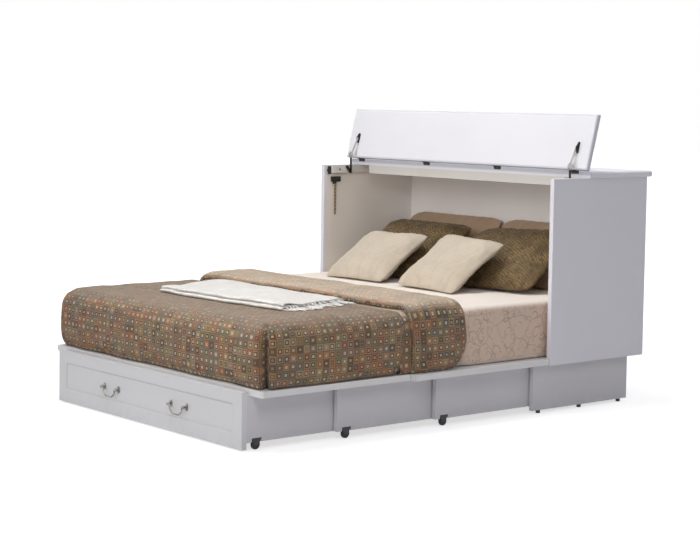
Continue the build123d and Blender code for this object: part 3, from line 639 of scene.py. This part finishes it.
def weldedMesh(name, quads, start, end, counts, closed=False):
    # quads of whole-number keys on a box from start to end; the cloth map unfolds its sides from the top
    start, end = np.array(start), np.array(end)
    made = bmesh.new()
    index, cloth = {}, []
    for quad in quads:
        for key in quad:
            if key in index:
                continue
            place = start + (end - start) * np.array(key) / counts
            index[key] = made.verts.new(place)
            drop = max(start[2], end[2]) - place[2]
            u, v = place[:2]
            if key[0] in (0, counts[0]):
                u += drop if key[0] else -drop
            elif key[1] in (0, counts[1]):
                v += drop if key[1] else -drop
            cloth.append((u, v, 0.0))
        made.faces.new([index[key] for key in quad])
    if closed:
        bmesh.ops.recalc_face_normals(made, faces=made.faces)
    mesh = bpy.data.meshes.new(name)
    made.to_mesh(mesh)
    made.free()
    return mesh, cloth


def roundOff(places, low, high, radius):
    # rounds the edges of a box; gives the new places and the way that each of them faces
    core = np.clip(places, low + radius, high - radius)
    out = places - core
    normal = out / np.linalg.norm(out, axis=1, keepdims=True)
    return core + normal * radius, normal


def roundCut(past, radius):
    # how far a cut corner has risen, past being how far along its radius it is
    return radius * (1.0 - math.sqrt(max(0.0, 1.0 - min(1.0, past) ** 2)))


def evaluatedMesh(piece):
    bpy.context.view_layer.update()
    return bpy.data.meshes.new_from_object(piece.evaluated_get(bpy.context.evaluated_depsgraph_get()))


def applyModifiers(piece):
    made = evaluatedMesh(piece)
    piece.modifiers.clear()
    piece.data = made


def thicken(piece, thickness, offset=-1.0):
    modifier = piece.modifiers.new("thickness", "SOLIDIFY")
    modifier.thickness = thickness
    modifier.offset = offset
    modifier.use_even_offset = False
    applyModifiers(piece)


def subdivide(piece):
    piece.modifiers.new("round", "SUBSURF").levels = 1
    applyModifiers(piece)


def wavering(place, scale, seed=0.0):
    return noise.noise(Vector(place) * scale + Vector((seed, seed * 0.7, seed * 1.3)))


def smoothStep(value, low, high):
    t = np.clip((value - low) / (high - low), 0.0, 1.0)
    return t * t * (3.0 - 2.0 * t)


# the mattress in its fitted sheet
mattress = dict(
    halfWidth=0.7535, foot=-1.0340, head=0.9955, bottom=0.2420, top=0.4950, spacing=0.020, footRadius=0.070,
    headRadius=0.028, radiusChange=0.12, valleyFrom=-0.345, valleyTo=-0.278, valleyDepth=0.014,
    wrinkle=0.0022, cornerDent=3.4, dentReach=0.10,
)


def boxQuads(counts):
    for axis in range(3):
        first, second = [a for a in range(3) if a != axis]
        for end in (0, counts[axis]):
            for a in range(counts[first]):
                for b in range(counts[second]):
                    ring = []
                    for da, db in ((0, 0), (1, 0), (1, 1), (0, 1)):
                        key = {axis: end, first: a + da, second: b + db}
                        ring.append((key[0], key[1], key[2]))
                    yield ring


def buildMattress():
    m = mattress
    low = np.array([-m["halfWidth"], m["foot"], m["bottom"]])
    high = np.array([m["halfWidth"], m["head"], m["top"]])
    counts = [int(round(length / m["spacing"])) for length in high - low]
    mesh, cloth = weldedMesh("mattressSheet", boxQuads(counts), low, high, counts, closed=True)
    places = pointsOf(mesh)
    towardsHead = smoothStep(places[:, 1:2], -m["radiusChange"], m["radiusChange"])
    radius = m["footRadius"] + (m["headRadius"] - m["footRadius"]) * towardsHead
    places, _ = roundOff(places, low, high, radius)
    middle = (m["valleyFrom"] + m["valleyTo"]) / 2
    half = (m["valleyTo"] - m["valleyFrom"]) / 2
    valley = m["valleyDepth"] * np.clip(1 - ((places[:, 1] - middle) / half) ** 2, 0, None)
    for n, (x, y, z) in enumerate(places):
        up = smoothStep(z, m["bottom"] + 0.02, m["top"] - 0.01)
        aside = smoothStep(abs(x), m["halfWidth"] - 0.04, m["halfWidth"] - 0.005)
        soft = wavering((x * 0.6, y * 1.6, z * 0.6), 9.0, 3.0) + 0.5 * wavering((x, y, z), 24.0, 8.0)
        inward = m["wrinkle"] * (0.6 + soft) * (1.0 if z > m["bottom"] + 0.01 else 0.0)
        # the foot corners give way to the coverlet's pleats
        nearSide = max(0.0, abs(x) - m["halfWidth"] + m["dentReach"])
        dent = m["cornerDent"] * nearSide * max(0.0, m["foot"] + m["dentReach"] - y)
        inX, inZ = valley[n] * aside + dent, valley[n] * up
        if z > m["top"] - 0.004:
            inZ += inward
        elif aside > 0.5:
            inX += abs(inward) * 1.4
        places[n] += (-math.copysign(inX, x), dent, -inZ)
    movePoints(mesh, places)
    paintTopLightAndPleatShade(mesh, cloth, 0.35, 0.85)
    piece = makeObject("mattressSheet", mesh, "scrollSheet")
    subdivide(piece)
    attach(piece, "cabinet")
    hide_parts("mattress")
    return piece


mattressPiece = buildMattress()
print("mattress and fitted sheet done")


# the coverlet: a sewn cross of top, two sides and a foot drop
coverlet = dict(
    halfWidth=0.7655, foot=-1.0455, head=-0.3175, hem=0.2440, top=0.5060, radius=0.076, step=0.012,
    cloth=0.006, bulge=0.011, tuck=0.013, tuckHeight=0.17, wave=0.0055, pleat=0.034, pleatWidth=0.20,
    pleatShade=0.17, pleatLip=0.013, endDive=0.024, endReach=0.055, endDrop=0.0095, endRound=0.070,
)


def coverletShape(places):
    # rounds the sharp tray, then lets it bulge, tuck in, wave and pleat, and gives how much painted shade
    # lies deep in each pleat
    c = coverlet
    low = np.array([-c["halfWidth"], c["foot"], -1.0])  # open below and at the head
    high = np.array([c["halfWidth"], 9.0, c["top"]])
    places, normal = roundOff(places, low, high, c["radius"])
    pleatShadeMask = np.zeros(len(places))
    for n in range(len(places)):
        x, y, z = places[n]
        nx, ny, nz = normal[n]
        height = (z - c["hem"]) / (c["top"] - c["hem"])
        side = math.hypot(nx, ny)
        sideways = abs(nx) > abs(ny)
        along = y if sideways else x + 3.0
        fold = math.sin(along * 16.0 + 1.3 * math.sin(along * 5.0 + (2.0 if sideways and x < 0 else 0.0)))
        soft = wavering((x, y, z * 0.5), 5.0, 1.0)
        fine = wavering((x, y, z * 0.6), 15.0, 5.0)
        push = c["bulge"] * math.sin(math.pi * min(1.0, max(0.0, height)) ** 0.8)
        push -= c["tuck"] * max(0.0, 1.0 - height / c["tuckHeight"]) ** 2
        push += c["wave"] * (1.0 - height) * fold + 0.006 * soft + 0.0028 * fine
        if abs(nx) * abs(ny) > 0.1:
            diagonal = abs(abs(nx) - abs(ny))
            deep = min(1.0, max(0.0, 1.02 - height)) ** 0.4
            push -= c["pleat"] * math.exp(-((diagonal / c["pleatWidth"]) ** 2)) * deep
            # painted shade deep in the pleat
            pleatShadeMask[n] = math.exp(-((diagonal / c["pleatShade"]) ** 2)) * deep
            lip = math.exp(-(((diagonal - 0.50) / c["pleatWidth"]) ** 2))
            push += c["pleatLip"] * lip * (1.0 - height * 0.5)
        end = smoothStep(y, c["head"] - c["endReach"], c["head"]) ** 2
        lift = -0.0022 * (1.0 + math.cos(x * 2.0))
        if nz > 0.2:
            lift += 0.0045 * soft + 0.0016 * fine + 0.0012 * math.sin(y * 34.0 + 2.0 * soft)
        push -= c["endDive"] * end * side
        if side > 1e-6:
            places[n] += np.array([nx, ny, 0.0]) / side * push * min(1.0, side * 1.4)
        if sideways and side > 0.9:
            # the lower corner at the open end is cut round
            past = max(0.0, y - (c["head"] - c["endRound"])) / c["endRound"]
            places[n, 2] += roundCut(past, c["endRound"] * 0.85) * (1.0 - height)
        places[n, 2] += (lift - c["endDrop"] * end) * max(0.0, nz)
    return places, pleatShadeMask


def buildCoverlet():
    c = coverlet
    drop = c["top"] - c["hem"]
    across = round(2 * c["halfWidth"] / c["step"])
    along = round((c["head"] - c["foot"]) / c["step"])
    down = round(drop / (c["step"] * 0.75))
    quads = []
    for i in range(across):
        quads += [[(i, j, 0), (i + 1, j, 0), (i + 1, j + 1, 0), (i, j + 1, 0)] for j in range(along)]
        quads += [[(i, 0, k + 1), (i + 1, 0, k + 1), (i + 1, 0, k), (i, 0, k)] for k in range(down)]
    for j in range(along):
        for k in range(down):
            quads.append([(0, j, k), (0, j + 1, k), (0, j + 1, k + 1), (0, j, k + 1)])
            quads.append([(across, j + 1, k), (across, j, k), (across, j, k + 1), (across, j + 1, k + 1)])
    start = (-c["halfWidth"], c["foot"], c["top"])
    end = (c["halfWidth"], c["head"], c["hem"])
    mesh, cloth = weldedMesh("coverletSpread", quads, start, end, (across, along, down))
    places, pleatShadeMask = coverletShape(pointsOf(mesh))
    movePoints(mesh, places)
    paintTopLightAndPleatShade(mesh, cloth, 0.45, 0.97, pleatShadeMask)
    piece = makeObject("coverletSpread", mesh, "coverletSquares")
    thicken(piece, c["cloth"])
    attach(piece, "cabinet")
    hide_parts("coverlet")
    return piece


coverletPiece = buildCoverlet()
print("coverlet done")


# the turned-down end: one strip folded on itself and laid across the bed
turndown = dict(
    halfWidth=0.7555, top=0.4956, hem=0.2465, radius=0.070, cloth=0.007, step=0.013, profileStep=0.010,
    sideShare=0.46, middle=-0.14, cornerRound=0.085, bulge=0.006, tuck=0.009, narrowing=0.030,
)
turndownProfile = [  # along the bed, and out from the mattress
    (-0.338, -0.0060), (-0.312, -0.0075), (-0.288, -0.0020), (-0.250, 0.0045), (-0.150, 0.0050),
    (-0.050, 0.0050), (-0.016, 0.0065), (0.001, 0.0120), (0.0075, 0.0210), (0.001, 0.0305), (-0.016, 0.0362),
    (-0.060, 0.0385), (-0.140, 0.0390), (-0.215, 0.0385), (-0.258, 0.0360), (-0.280, 0.0285),
    (-0.2885, 0.0180), (-0.2875, 0.0100),
]


def smoothLine(points, spacing):
    # an even resampling of a spline through the points
    points = np.array(points, float)
    padded = np.vstack([2 * points[0] - points[1], points, 2 * points[-1] - points[-2]])
    dense = []
    for n in range(1, len(padded) - 2):
        a, b, c, d = padded[n - 1 : n + 3]
        for t in np.linspace(0, 1, 24, endpoint=False):
            bend = (2 * a - 5 * b + 4 * c - d) * t * t + (3 * b - a - 3 * c + d) * t**3
            dense.append(0.5 * (2 * b + (c - a) * t + bend))
    dense = np.array(dense + [points[-1]])
    run = np.concatenate([[0], np.cumsum(np.linalg.norm(np.diff(dense, axis=0), axis=1))])
    even = np.linspace(0, run[-1], max(2, round(run[-1] / spacing)) + 1)
    return np.stack([np.interp(even, run, dense[:, k]) for k in range(2)], 1), even


def buildTurndown():
    t = turndown
    profile, run = smoothLine(turndownProfile, t["profileStep"])
    r = t["radius"]
    straight = t["halfWidth"] - r
    drop = t["top"] - r - t["hem"]
    arc = r * math.pi / 2
    half = straight + arc + drop
    across = np.linspace(-half, half, round(2 * half / t["step"]) + 1)
    places = np.zeros((len(across), len(profile), 3))
    cloth = np.zeros_like(places)
    for i, s in enumerate(across):
        # where the strip is on the mattress: on top, round its edge (angle) or down its side (low)
        angle = min(max((abs(s) - straight) / r, 0.0), math.pi / 2)
        low = max(0.0, abs(s) - straight - arc) / drop
        baseX = min(abs(s), straight) + r * math.sin(angle)
        baseZ = t["top"] - r + r * math.cos(angle) - low * drop
        side = smoothStep(angle, 0.3, 1.5)
        share = 1.0 + (t["sideShare"] - 1.0) * side
        for j, (y, out) in enumerate(profile):
            loose = j / (len(profile) - 1)
            nearer = y < t["middle"]
            sway = 0.006 * math.sin(s * 7.0 + 1.0) + 0.004 * wavering((s, loose, 0.0), 4.0, 2.0)
            soft = wavering((s * 1.2, y * 3.0, loose * 2.0), 4.5, 6.0)
            lump = 0.0045 * soft + 0.002 * wavering((s, y, loose), 17.0, 9.0)
            outward = out * share
            if loose > 0.5:
                outward += lump * (0.4 + 0.6 * (1 - side))
                outward += t["bulge"] * math.sin(math.pi * min(1.0, low * 1.1))
                outward -= t["tuck"] * max(0.0, (low - 0.86) / 0.14) ** 2
            if out > 0:
                outward = max(0.0035, outward)
            narrow = t["narrowing"] * max(0.0, (low - 0.72) / 0.28) ** 2 * (1.0 if nearer else 0.25)
            way = 0.0 if loose <= 0.2 else 1.0 if nearer else -1.0
            # the lower corner at the fold is round too
            past = max(0.0, y + t["cornerRound"]) / t["cornerRound"]
            raised = roundCut(past, t["cornerRound"] * 0.8) * low
            x = math.copysign(baseX + math.sin(angle) * outward, s)
            places[i, j] = (x, y + sway * loose + narrow * way, baseZ + math.cos(angle) * outward + raised)
            cloth[i, j] = (s, run[j] + 2.0, 0.0)
    mesh = gridMesh("turnedDownEnd", places, cloth)
    paintTopLightAndPleatShade(mesh, cloth, 0.45, 0.97)
    piece = makeObject("turnedDownEnd", mesh, "turnedDownSquares")
    thicken(piece, t["cloth"], 0.0)
    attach(piece, "cabinet")
    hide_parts("coverlet_turndown")
    return piece


turndownPiece = buildTurndown()
print("turned-down end done")


def treeOf(*pieces):
    bpy.context.view_layer.update()
    vertices, faces = [], []
    for piece in pieces:
        start = len(vertices)
        vertices += [piece.matrix_world @ v.co for v in piece.data.vertices]
        faces += [tuple(start + n for n in p.vertices) for p in piece.data.polygons]
    return BVHTree.FromPolygons(vertices, faces)


def topOf(tree, x, y, fallback=0.5):
    hit = tree.ray_cast(Vector((x, y, 1.5)), Vector((0, 0, -1)))[0]
    return hit.z if hit else fallback


# the throw: one length folded in four, with a fringe on its near end
throw = dict(
    corners=((-0.370, -0.7600), (0.475, -0.7350), (0.376, -0.3220), (-0.500, -0.3220)), cloth=0.0042,
    length=1.0, span=0.42, alongCount=92, step=0.009, levels=(0.0028, 0.0128, 0.0172, 0.0268),
    flatLevels=(0.0026, 0.0076, 0.0124, 0.0174), foldOut=0.0090, stagger=0.010, feel=0.012, endPress=0.22,
)
fringe = dict(
    strands=17, length=0.094, steps=7, radius=0.0031, splay=0.42, tucked=0.006, headLimit=-0.324,
    levels=((0.0046, 0.0), (0.0176, 0.5)),
)
bedTree = treeOf(coverletPiece, turndownPiece)


def throwSpot(a, b):
    # a runs from the far end to the fringed end, b from the foot side to the head side
    c = [np.array(p) for p in throw["corners"]]
    foot = c[0] + (c[1] - c[0]) * a
    head = c[3] + (c[2] - c[3]) * a
    return foot + (head - foot) * b


def buildThrow():
    t = throw
    span, feel = t["span"], t["feel"]
    # one line across the folds: share across, layer number
    columns, layers = [], []
    perLayer = round(span / t["step"])
    for layer in range(4):
        way = 1.0 if layer % 2 else -1.0
        shares = np.linspace(0, 1, perLayer)[:: int(way)] * (1 - t["stagger"] / span)
        shares = shares + (0.0 if layer < 2 else t["stagger"] / span)
        columns += shares.tolist()
        layers += [float(layer)] * perLayer
        if layer < 3:
            for angle in (0.17, 0.33, 0.5, 0.67, 0.83):
                columns.append(shares[-1] + way * t["foldOut"] * math.sin(angle * math.pi) / span)
                layers.append(layer + (1 - math.cos(angle * math.pi)) / 2)
    along = np.linspace(0, 1, t["alongCount"])
    places = np.zeros((len(along), len(columns), 3))
    cloth = np.zeros_like(places)
    run = 0.0
    for j, (b, layer) in enumerate(zip(columns, layers)):
        full = float(np.interp(layer, range(4), t["levels"]))
        pressed = float(np.interp(layer, range(4), t["flatLevels"]))
        level = full + (pressed - full) * smoothStep(b, 0.03, 0.30)
        if j:
            run += math.hypot((b - columns[j - 1]) * span, level - lastLevel)
        lastLevel = level
        for i, a in enumerate(along):
            x, y = throwSpot(a, b)
            y += 0.006 * math.sin(a * 7.0 + 1.0) * (1 - b)
            y += 0.003 * wavering((a * 3, b * 2, round(layer)), 2.0, 4.0)
            x += 0.005 * wavering((b * 4, a, round(layer)), 2.0, 7.0)
            around = ((0, 0), (feel, 0), (-feel, 0), (0, feel), (0, -feel))
            ground = sum(topOf(bedTree, x + dx, y + dy) for dx, dy in around) / len(around)
            slack = (1 + wavering((x, y, 0.0), 7.0, 2.0)) * (0.0022 + 0.0012 * math.sin(a * 23.0 + layer))
            ends = 1.0 - t["endPress"] * (smoothStep(a, 0.06, 0.0) + smoothStep(a, 0.94, 1.0))
            places[i, j] = (x, y, ground + level * ends + slack * level * 50.0 + 0.0006)
            cloth[i, j] = (a * t["length"], run, 0.0)
    piece = makeObject("foldedThrow", gridMesh("foldedThrow", places, cloth), "throwWeave")
    thicken(piece, t["cloth"], 0.0)
    return piece, (t["length"], run)


throwPiece, throwCut = buildThrow()
throwTree = treeOf(coverletPiece, turndownPiece)


def unitAlong(heading):
    return np.array([math.cos(heading), math.sin(heading)])


def strandPoints(rng, n, start, heading, level):
    # one strand: straight out of the hem, then a lazy curl down to what lies under it
    f = fringe
    length = f["length"] * rng.uniform(0.75, 1.15)
    curl = rng.uniform(-0.5, 0.5)
    points = [(*(start - unitAlong(heading) * f["tucked"]), topOf(throwTree, *start) + level)]
    at = start
    for step in range(1, f["steps"] + 1):
        share = step / f["steps"]
        bend = curl * share * share * 1.6 + 0.35 * math.sin(share * 9 + n)
        at = at + unitAlong(heading + bend) * length / f["steps"]
        at[1] = min(at[1], f["headLimit"])
        lying = f["radius"] * 1.1 + rng.uniform(0, 0.0022)
        fall = level * max(0.0, 1 - share / 0.35)
        points.append((*at, topOf(throwTree, *at) + max(lying, fall)))
    return points


def buildFringe():
    f = fringe
    rng = random.Random(7)
    outline = bpy.data.curves.new("throwFringe", "CURVE")
    outline.dimensions = "3D"
    outline.bevel_depth = f["radius"]
    outline.bevel_resolution = 2
    outline.use_fill_caps = True
    for level, offset in f["levels"]:
        for n in range(f["strands"]):
            b = min(0.995, max(0.005, (n + offset + rng.uniform(-0.3, 0.3)) / f["strands"]))
            start = throwSpot(0.996, b)
            way = start - throwSpot(0.90, b)
            heading = math.atan2(way[1], way[0]) + rng.gauss(0.0, f["splay"])
            points = strandPoints(rng, n, start, heading, level)
            spline = outline.splines.new("NURBS")
            spline.points.add(len(points) - 1)
            for point, co in zip(spline.points, points):
                point.co = (*co, 1.0)
            spline.points[-1].radius = 0.45
            spline.order_u = 3
            spline.use_endpoint_u = True
    strands = bpy.data.objects.new("throwFringe", outline)
    scene.collection.objects.link(strands)
    mesh = evaluatedMesh(strands)
    bpy.data.objects.remove(strands)
    setClothMap(mesh, pointsOf(mesh) * (1.0, 1.0, 0.0))
    return makeObject("throwFringe", mesh, "throwWeave")


fringePiece = buildFringe()
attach(throwPiece, "cabinet")
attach(fringePiece, "cabinet")
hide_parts("throw_blanket")
print("throw and fringe done")


# the pillows: sewn flat, filled by a cloth run, then leaned in place
pillowKinds = {
    "cream": dict(
        width=0.404, height=0.384, thickness=0.102, square=9.0, finish="creamLinen", slot="cream_linen",
        sag=0.08, pull=0.055, pucker=0.0036,
    ),
    "gold": dict(
        width=0.584, height=0.436, thickness=0.130, square=7.0, finish="goldBrocade", slot="gold_brocade",
        sag=0.14, pull=0.045, pucker=0.0048,
    ),
    "brown": dict(
        width=0.644, height=0.412, thickness=0.108, square=7.5, finish="brownSatin", slot="brown_satin",
        sag=0.14, pull=0.045, pucker=0.0034,
    ),
}
pillowPlaces = {
    "pillow_cream_left": dict(kind="cream", x=-0.344, y=-0.172, tilt=33, roll=2, seed=1),
    "pillow_cream_right": dict(kind="cream", x=0.173, y=-0.186, tilt=36, roll=-3, seed=2),
    "pillow_gold_left": dict(kind="gold", x=-0.390, y=0.050, tilt=36, roll=0, seed=3),
    "pillow_gold_right": dict(kind="gold", x=0.300, y=0.054, tilt=36, roll=4, seed=4),
    "pillow_brown_left": dict(kind="brown", x=-0.400, y=0.300, tilt=46, roll=0, seed=5),
    "pillow_brown_right": dict(kind="brown", x=0.262, y=0.300, tilt=46, roll=0, seed=6),
}
pillowFill = dict(
    quality=6, mass=0.25, tension_stiffness=12.0, compression_stiffness=6.0, bending_stiffness=0.6,
    use_pressure=True, uniform_pressure_force=4.0,
)
pillows = dict(spacing=0.011, firstFill=0.36, frames=20, farthest=0.016, sink=0.010, clearance=0.0005)
partShift = 0.49765  # the side panels' front edges, in the row frame


def pillowBlank(name, kind, seed):
    # two faces sewn round the edge, with a shallow fill to start from
    columns, rows = (round(kind[side] / pillows["spacing"]) for side in ("width", "height"))
    places, cloth, faces, index = [], [], [], {}
    power = kind["square"]

    def keyOf(i, j, face):
        return i, j, 0 if i in (0, columns) or j in (0, rows) else face

    for face in (1, -1):
        for i, a in enumerate(np.linspace(-1, 1, columns + 1)):
            for j, b in enumerate(np.linspace(-1, 1, rows + 1)):
                key = keyOf(i, j, face)
                if key in index:
                    continue
                index[key] = len(places)
                crown = (max(0.0, 1 - a * a) * max(0.0, 1 - b * b)) ** 0.52
                # round the corners, and pull the sides in between them
                most = max(abs(a), abs(b), 1e-6)
                squash = most / max((abs(a) ** power + abs(b) ** power) ** (1 / power), 1e-6)
                x = a * squash * (1 - kind["pull"] * (1 - b * b) * abs(a) ** 3) * kind["width"] / 2
                y = b * squash * (1 - kind["pull"] * (1 - a * a) * abs(b) ** 3) * kind["height"] / 2
                lump = 1 + 0.10 * wavering((a, b, face), 2.2, seed * 3.1)
                z = key[2] * kind["thickness"] * pillows["firstFill"] * crown * lump
                places.append((x, y, z))
                cloth.append((a * kind["width"] / 2 + face * 3.0, b * kind["height"] / 2, 0.0))
        for i in range(columns):
            for j in range(rows):
                corners = ((i, j), (i + 1, j), (i + 1, j + 1), (i, j + 1))
                faces.append([index[keyOf(*corner, face)] for corner in corners][::face])
    mesh = bpy.data.meshes.new(name)
    mesh.from_pydata(places, [], faces)
    setClothMap(mesh, cloth)
    return makeObject(name, mesh, kind["finish"])


def fillPillow(piece):
    # a short cloth run under pressure, capped so that no point strays
    start = pointsOf(piece.data)
    modifier = piece.modifiers.new("fill", "CLOTH")
    for label, value in pillowFill.items():
        setattr(modifier.settings, label, value)
    modifier.settings.effector_weights.gravity = 0.0
    modifier.collision_settings.use_collision = False
    modifier.point_cache.frame_start = 1
    modifier.point_cache.frame_end = pillows["frames"]
    for frameNumber in range(1, pillows["frames"] + 1):
        scene.frame_set(frameNumber)
    bpy.context.view_layer.update()
    evaluated = piece.evaluated_get(bpy.context.evaluated_depsgraph_get())
    shift = pointsOf(evaluated.data) - start
    piece.modifiers.clear()
    scene.frame_set(1)
    length = np.linalg.norm(shift, axis=1, keepdims=True)
    shift *= np.minimum(1.0, pillows["farthest"] / np.maximum(length, 1e-9))
    movePoints(piece.data, start + shift)
    soften = piece.modifiers.new("soften", "SMOOTH")
    soften.factor, soften.iterations = 0.5, 5
    applyModifiers(piece)


def fitPillow(places, kind):
    # back to the size that was cut, whatever the run made of it
    low, high = places.min(0), places.max(0)
    size = np.array([kind["width"], kind["height"], kind["thickness"]])
    return (places - (low + high) / 2) * (size / (high - low))


def buildPillow(name, place):
    kind = pillowKinds[place["kind"]]
    piece = pillowBlank(name.title().replace("_", ""), kind, place["seed"])
    fillPillow(piece)
    places = fitPillow(pointsOf(piece.data), kind)
    # slump: the filling settles low and the top edge droops back
    b = places[:, 1] / kind["height"] + 0.5
    a = places[:, 0] / kind["width"] * 2
    places[:, 2] *= 1.0 + kind["sag"] * (0.5 - b)
    places[:, 2] -= 0.16 * kind["sag"] * np.clip(b - 0.5, 0, None) ** 2
    places[:, 1] -= kind["sag"] * 0.05 * np.clip(b, 0, 1) * (a**2 - 0.3)
    # puckers run in from the seam
    inX, inY = (1 - np.abs(a)) * kind["width"] / 2, (0.5 - np.abs(b - 0.5)) * kind["height"]
    inward, seamRun = np.minimum(inX, inY), np.where(inX < inY, places[:, 1], places[:, 0])
    sway = np.array([wavering(p, 9.0, place["seed"] * 5.0) for p in places])
    pucker = np.sin(seamRun * 120.0 + 3.5 * sway) * np.exp(-inward / 0.040) * (1 - np.exp(-inward / 0.010))
    pucker += 0.9 * sway * (1 - np.exp(-inward / 0.05))
    places[:, 2] += np.sign(places[:, 2]) * kind["pucker"] * pucker
    places[:, 1] += kind["height"] / 2
    tilt = Matrix.Rotation(math.radians(place["tilt"]), 3, "X")
    roll = Matrix.Rotation(math.radians(place["roll"]), 3, "Z")
    places = places @ np.array(tilt @ roll).T
    sheetTop, sink = mattress["top"] + pillows["clearance"], pillows["sink"]
    places += np.array([place["x"], place["y"] + partShift, sheetTop - places[:, 2].min() - sink])
    # the lower edge presses flat on the bed
    under = sheetTop + sink - places[:, 2]
    places[:, 2] = np.where(under > 0, sheetTop + sink * np.exp(-under / sink), places[:, 2])
    places[:, 2] = np.maximum(places[:, 2], sheetTop)
    movePoints(piece.data, places)
    subdivide(piece)
    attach(piece, "cabinet")
    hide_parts(name)
    return piece


pillowPieces = [buildPillow(name, place) for name, place in pillowPlaces.items()]
print("pillows done:", len(pillowPieces))

# every soft piece gets a mesh of its own
for piece in [mattressPiece, coverletPiece, turndownPiece, throwPiece, fringePiece] + pillowPieces:
    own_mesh(piece)


# floor, lights and camera
stage = dict(
    floorColour=(0.58, 0.58, 0.59), floorSize=60.0, floorDrop=0.0005, floorGlow=0.64, glowFrom=1.8,
    glowTo=5.0, worldColour=(0.95, 0.955, 1.0), worldLight=0.29,
)
lamps = {
    "top": dict(power=125.0, size=2.4, at=(-0.3, -0.4, 5.2), aim=(0.0, -0.1, 0.5), tint=(1.0, 0.985, 0.96)),
    "key": dict(power=9.0, size=1.8, at=(-2.3, -2.5, 3.3), aim=(0.0, 0.3, 0.7), tint=(1.0, 0.985, 0.96)),
    "front": dict(power=112.0, size=4.0, at=(0.0, -9.0, 2.3), aim=(0.0, 0.9, 0.75), tint=(1.0, 0.98, 0.95)),
    "niche": dict(power=9.0, size=0.7, at=(0.25, -1.5, 1.65), aim=(-0.05, 1.0, 0.95), tint=(1.0, 0.98, 0.95)),
    "rear": dict(power=75.0, size=3.0, at=(0.5, 6.0, 2.6), aim=(0.0, 1.1, 0.6), tint=(1.0, 1.0, 1.0)),
    "side": dict(power=31.0, size=1.6, at=(2.9, -2.6, 2.6), aim=(0.8, 0.0, 0.5), tint=(0.97, 0.97, 1.0)),
}


def seenDirectly(tree):
    # camera, mirror and clear-glass rays see the background as it is meant to look
    rays = tree.nodes.new("ShaderNodeLightPath").outputs
    return larger(rays["Is Camera Ray"], larger(rays["Is Glossy Ray"], rays["Is Transmission Ray"]))


def buildFloor():
    h = stage["floorSize"] / 2
    mesh = bpy.data.meshes.new("studioFloor")
    mesh.from_pydata([(-h, -h, 0), (h, -h, 0), (h, h, 0), (-h, h, 0)], [], [(0, 1, 2, 3)])
    sockets, tree = newMaterial("studioFloor", Roughness=0.9, Base_Color=stage["floorColour"])
    floor = makeObject("studioFloor", mesh, "studioFloor")
    floor.location.z = -stage["floorDrop"]
    shader = tree.nodes["Principled BSDF"].outputs[0]
    away = lengthOf(objectPlace(tree))
    glow = spread(away, stage["glowFrom"], stage["glowTo"], stage["floorGlow"], 1.0)
    glowing = newNode("AddShader", {0: shader, 1: newNode("Emission", dict(Strength=glow))})
    seen = newNode("MixShader", {0: seenDirectly(tree), 1: shader, 2: glowing})
    join(seen, tree.nodes["Material Output"].inputs["Surface"])


def buildWorld():
    # an even, dim room that looks white where it is seen directly
    world = bpy.data.worlds.new("studio")
    scene.world = world
    world.use_nodes = True
    tree = world.node_tree
    seen = seenDirectly(tree)
    colour = mixColours(seen, stage["worldColour"], (1.0, 1.0, 1.0))
    joinAll(tree.nodes["Background"].inputs, Color=colour, Strength=larger(seen, stage["worldLight"]))


def buildLamps():
    for name, look in lamps.items():
        light = bpy.data.lights.new(name + "Lamp", "AREA")
        light.shape = "DISK"
        light.size = look["size"]
        light.energy = look["power"]
        light.color = look["tint"]
        lamp = bpy.data.objects.new(name + "Lamp", light)
        lamp.location = look["at"]
        ahead = Vector(look["aim"]) - Vector(look["at"])
        lamp.rotation_euler = ahead.to_track_quat("-Z", "Y").to_euler()
        lamp.visible_camera = False
        scene.collection.objects.link(lamp)


buildFloor()
buildWorld()
buildLamps()
scene.view_settings.view_transform = "Standard"

viewpoint = dict(
    place=(6.0694, -5.10965, 1.3865), yaw=51.76, pitch=4.46, roll=0.68, focalPixels=1761.8, imagePixels=700.0,
    sensor=36.0, shift=(0.0857, -0.0593),
)


def buildCamera():
    v = viewpoint
    yaw, pitch, roll = (math.radians(v[k]) for k in ("yaw", "pitch", "roll"))
    ahead = Vector((-math.sin(yaw) * math.cos(pitch), math.cos(yaw) * math.cos(pitch), -math.sin(pitch)))
    level = Vector((math.cos(yaw), math.sin(yaw), 0.0))
    upright = level.cross(ahead)
    right = math.cos(roll) * level + math.sin(roll) * upright
    up = -math.sin(roll) * level + math.cos(roll) * upright
    lens = bpy.data.cameras.new("camera")
    lens.sensor_width = v["sensor"]
    lens.lens = v["focalPixels"] * v["sensor"] / v["imagePixels"]
    lens.shift_x, lens.shift_y = v["shift"]
    camera = bpy.data.objects.new("camera", lens)
    turn = Matrix((right, up, -ahead)).transposed().to_4x4()
    camera.matrix_world = Matrix.Translation(v["place"]) @ turn
    scene.collection.objects.link(camera)
    scene.camera = camera


buildCamera()
print("stage, lights and camera done")
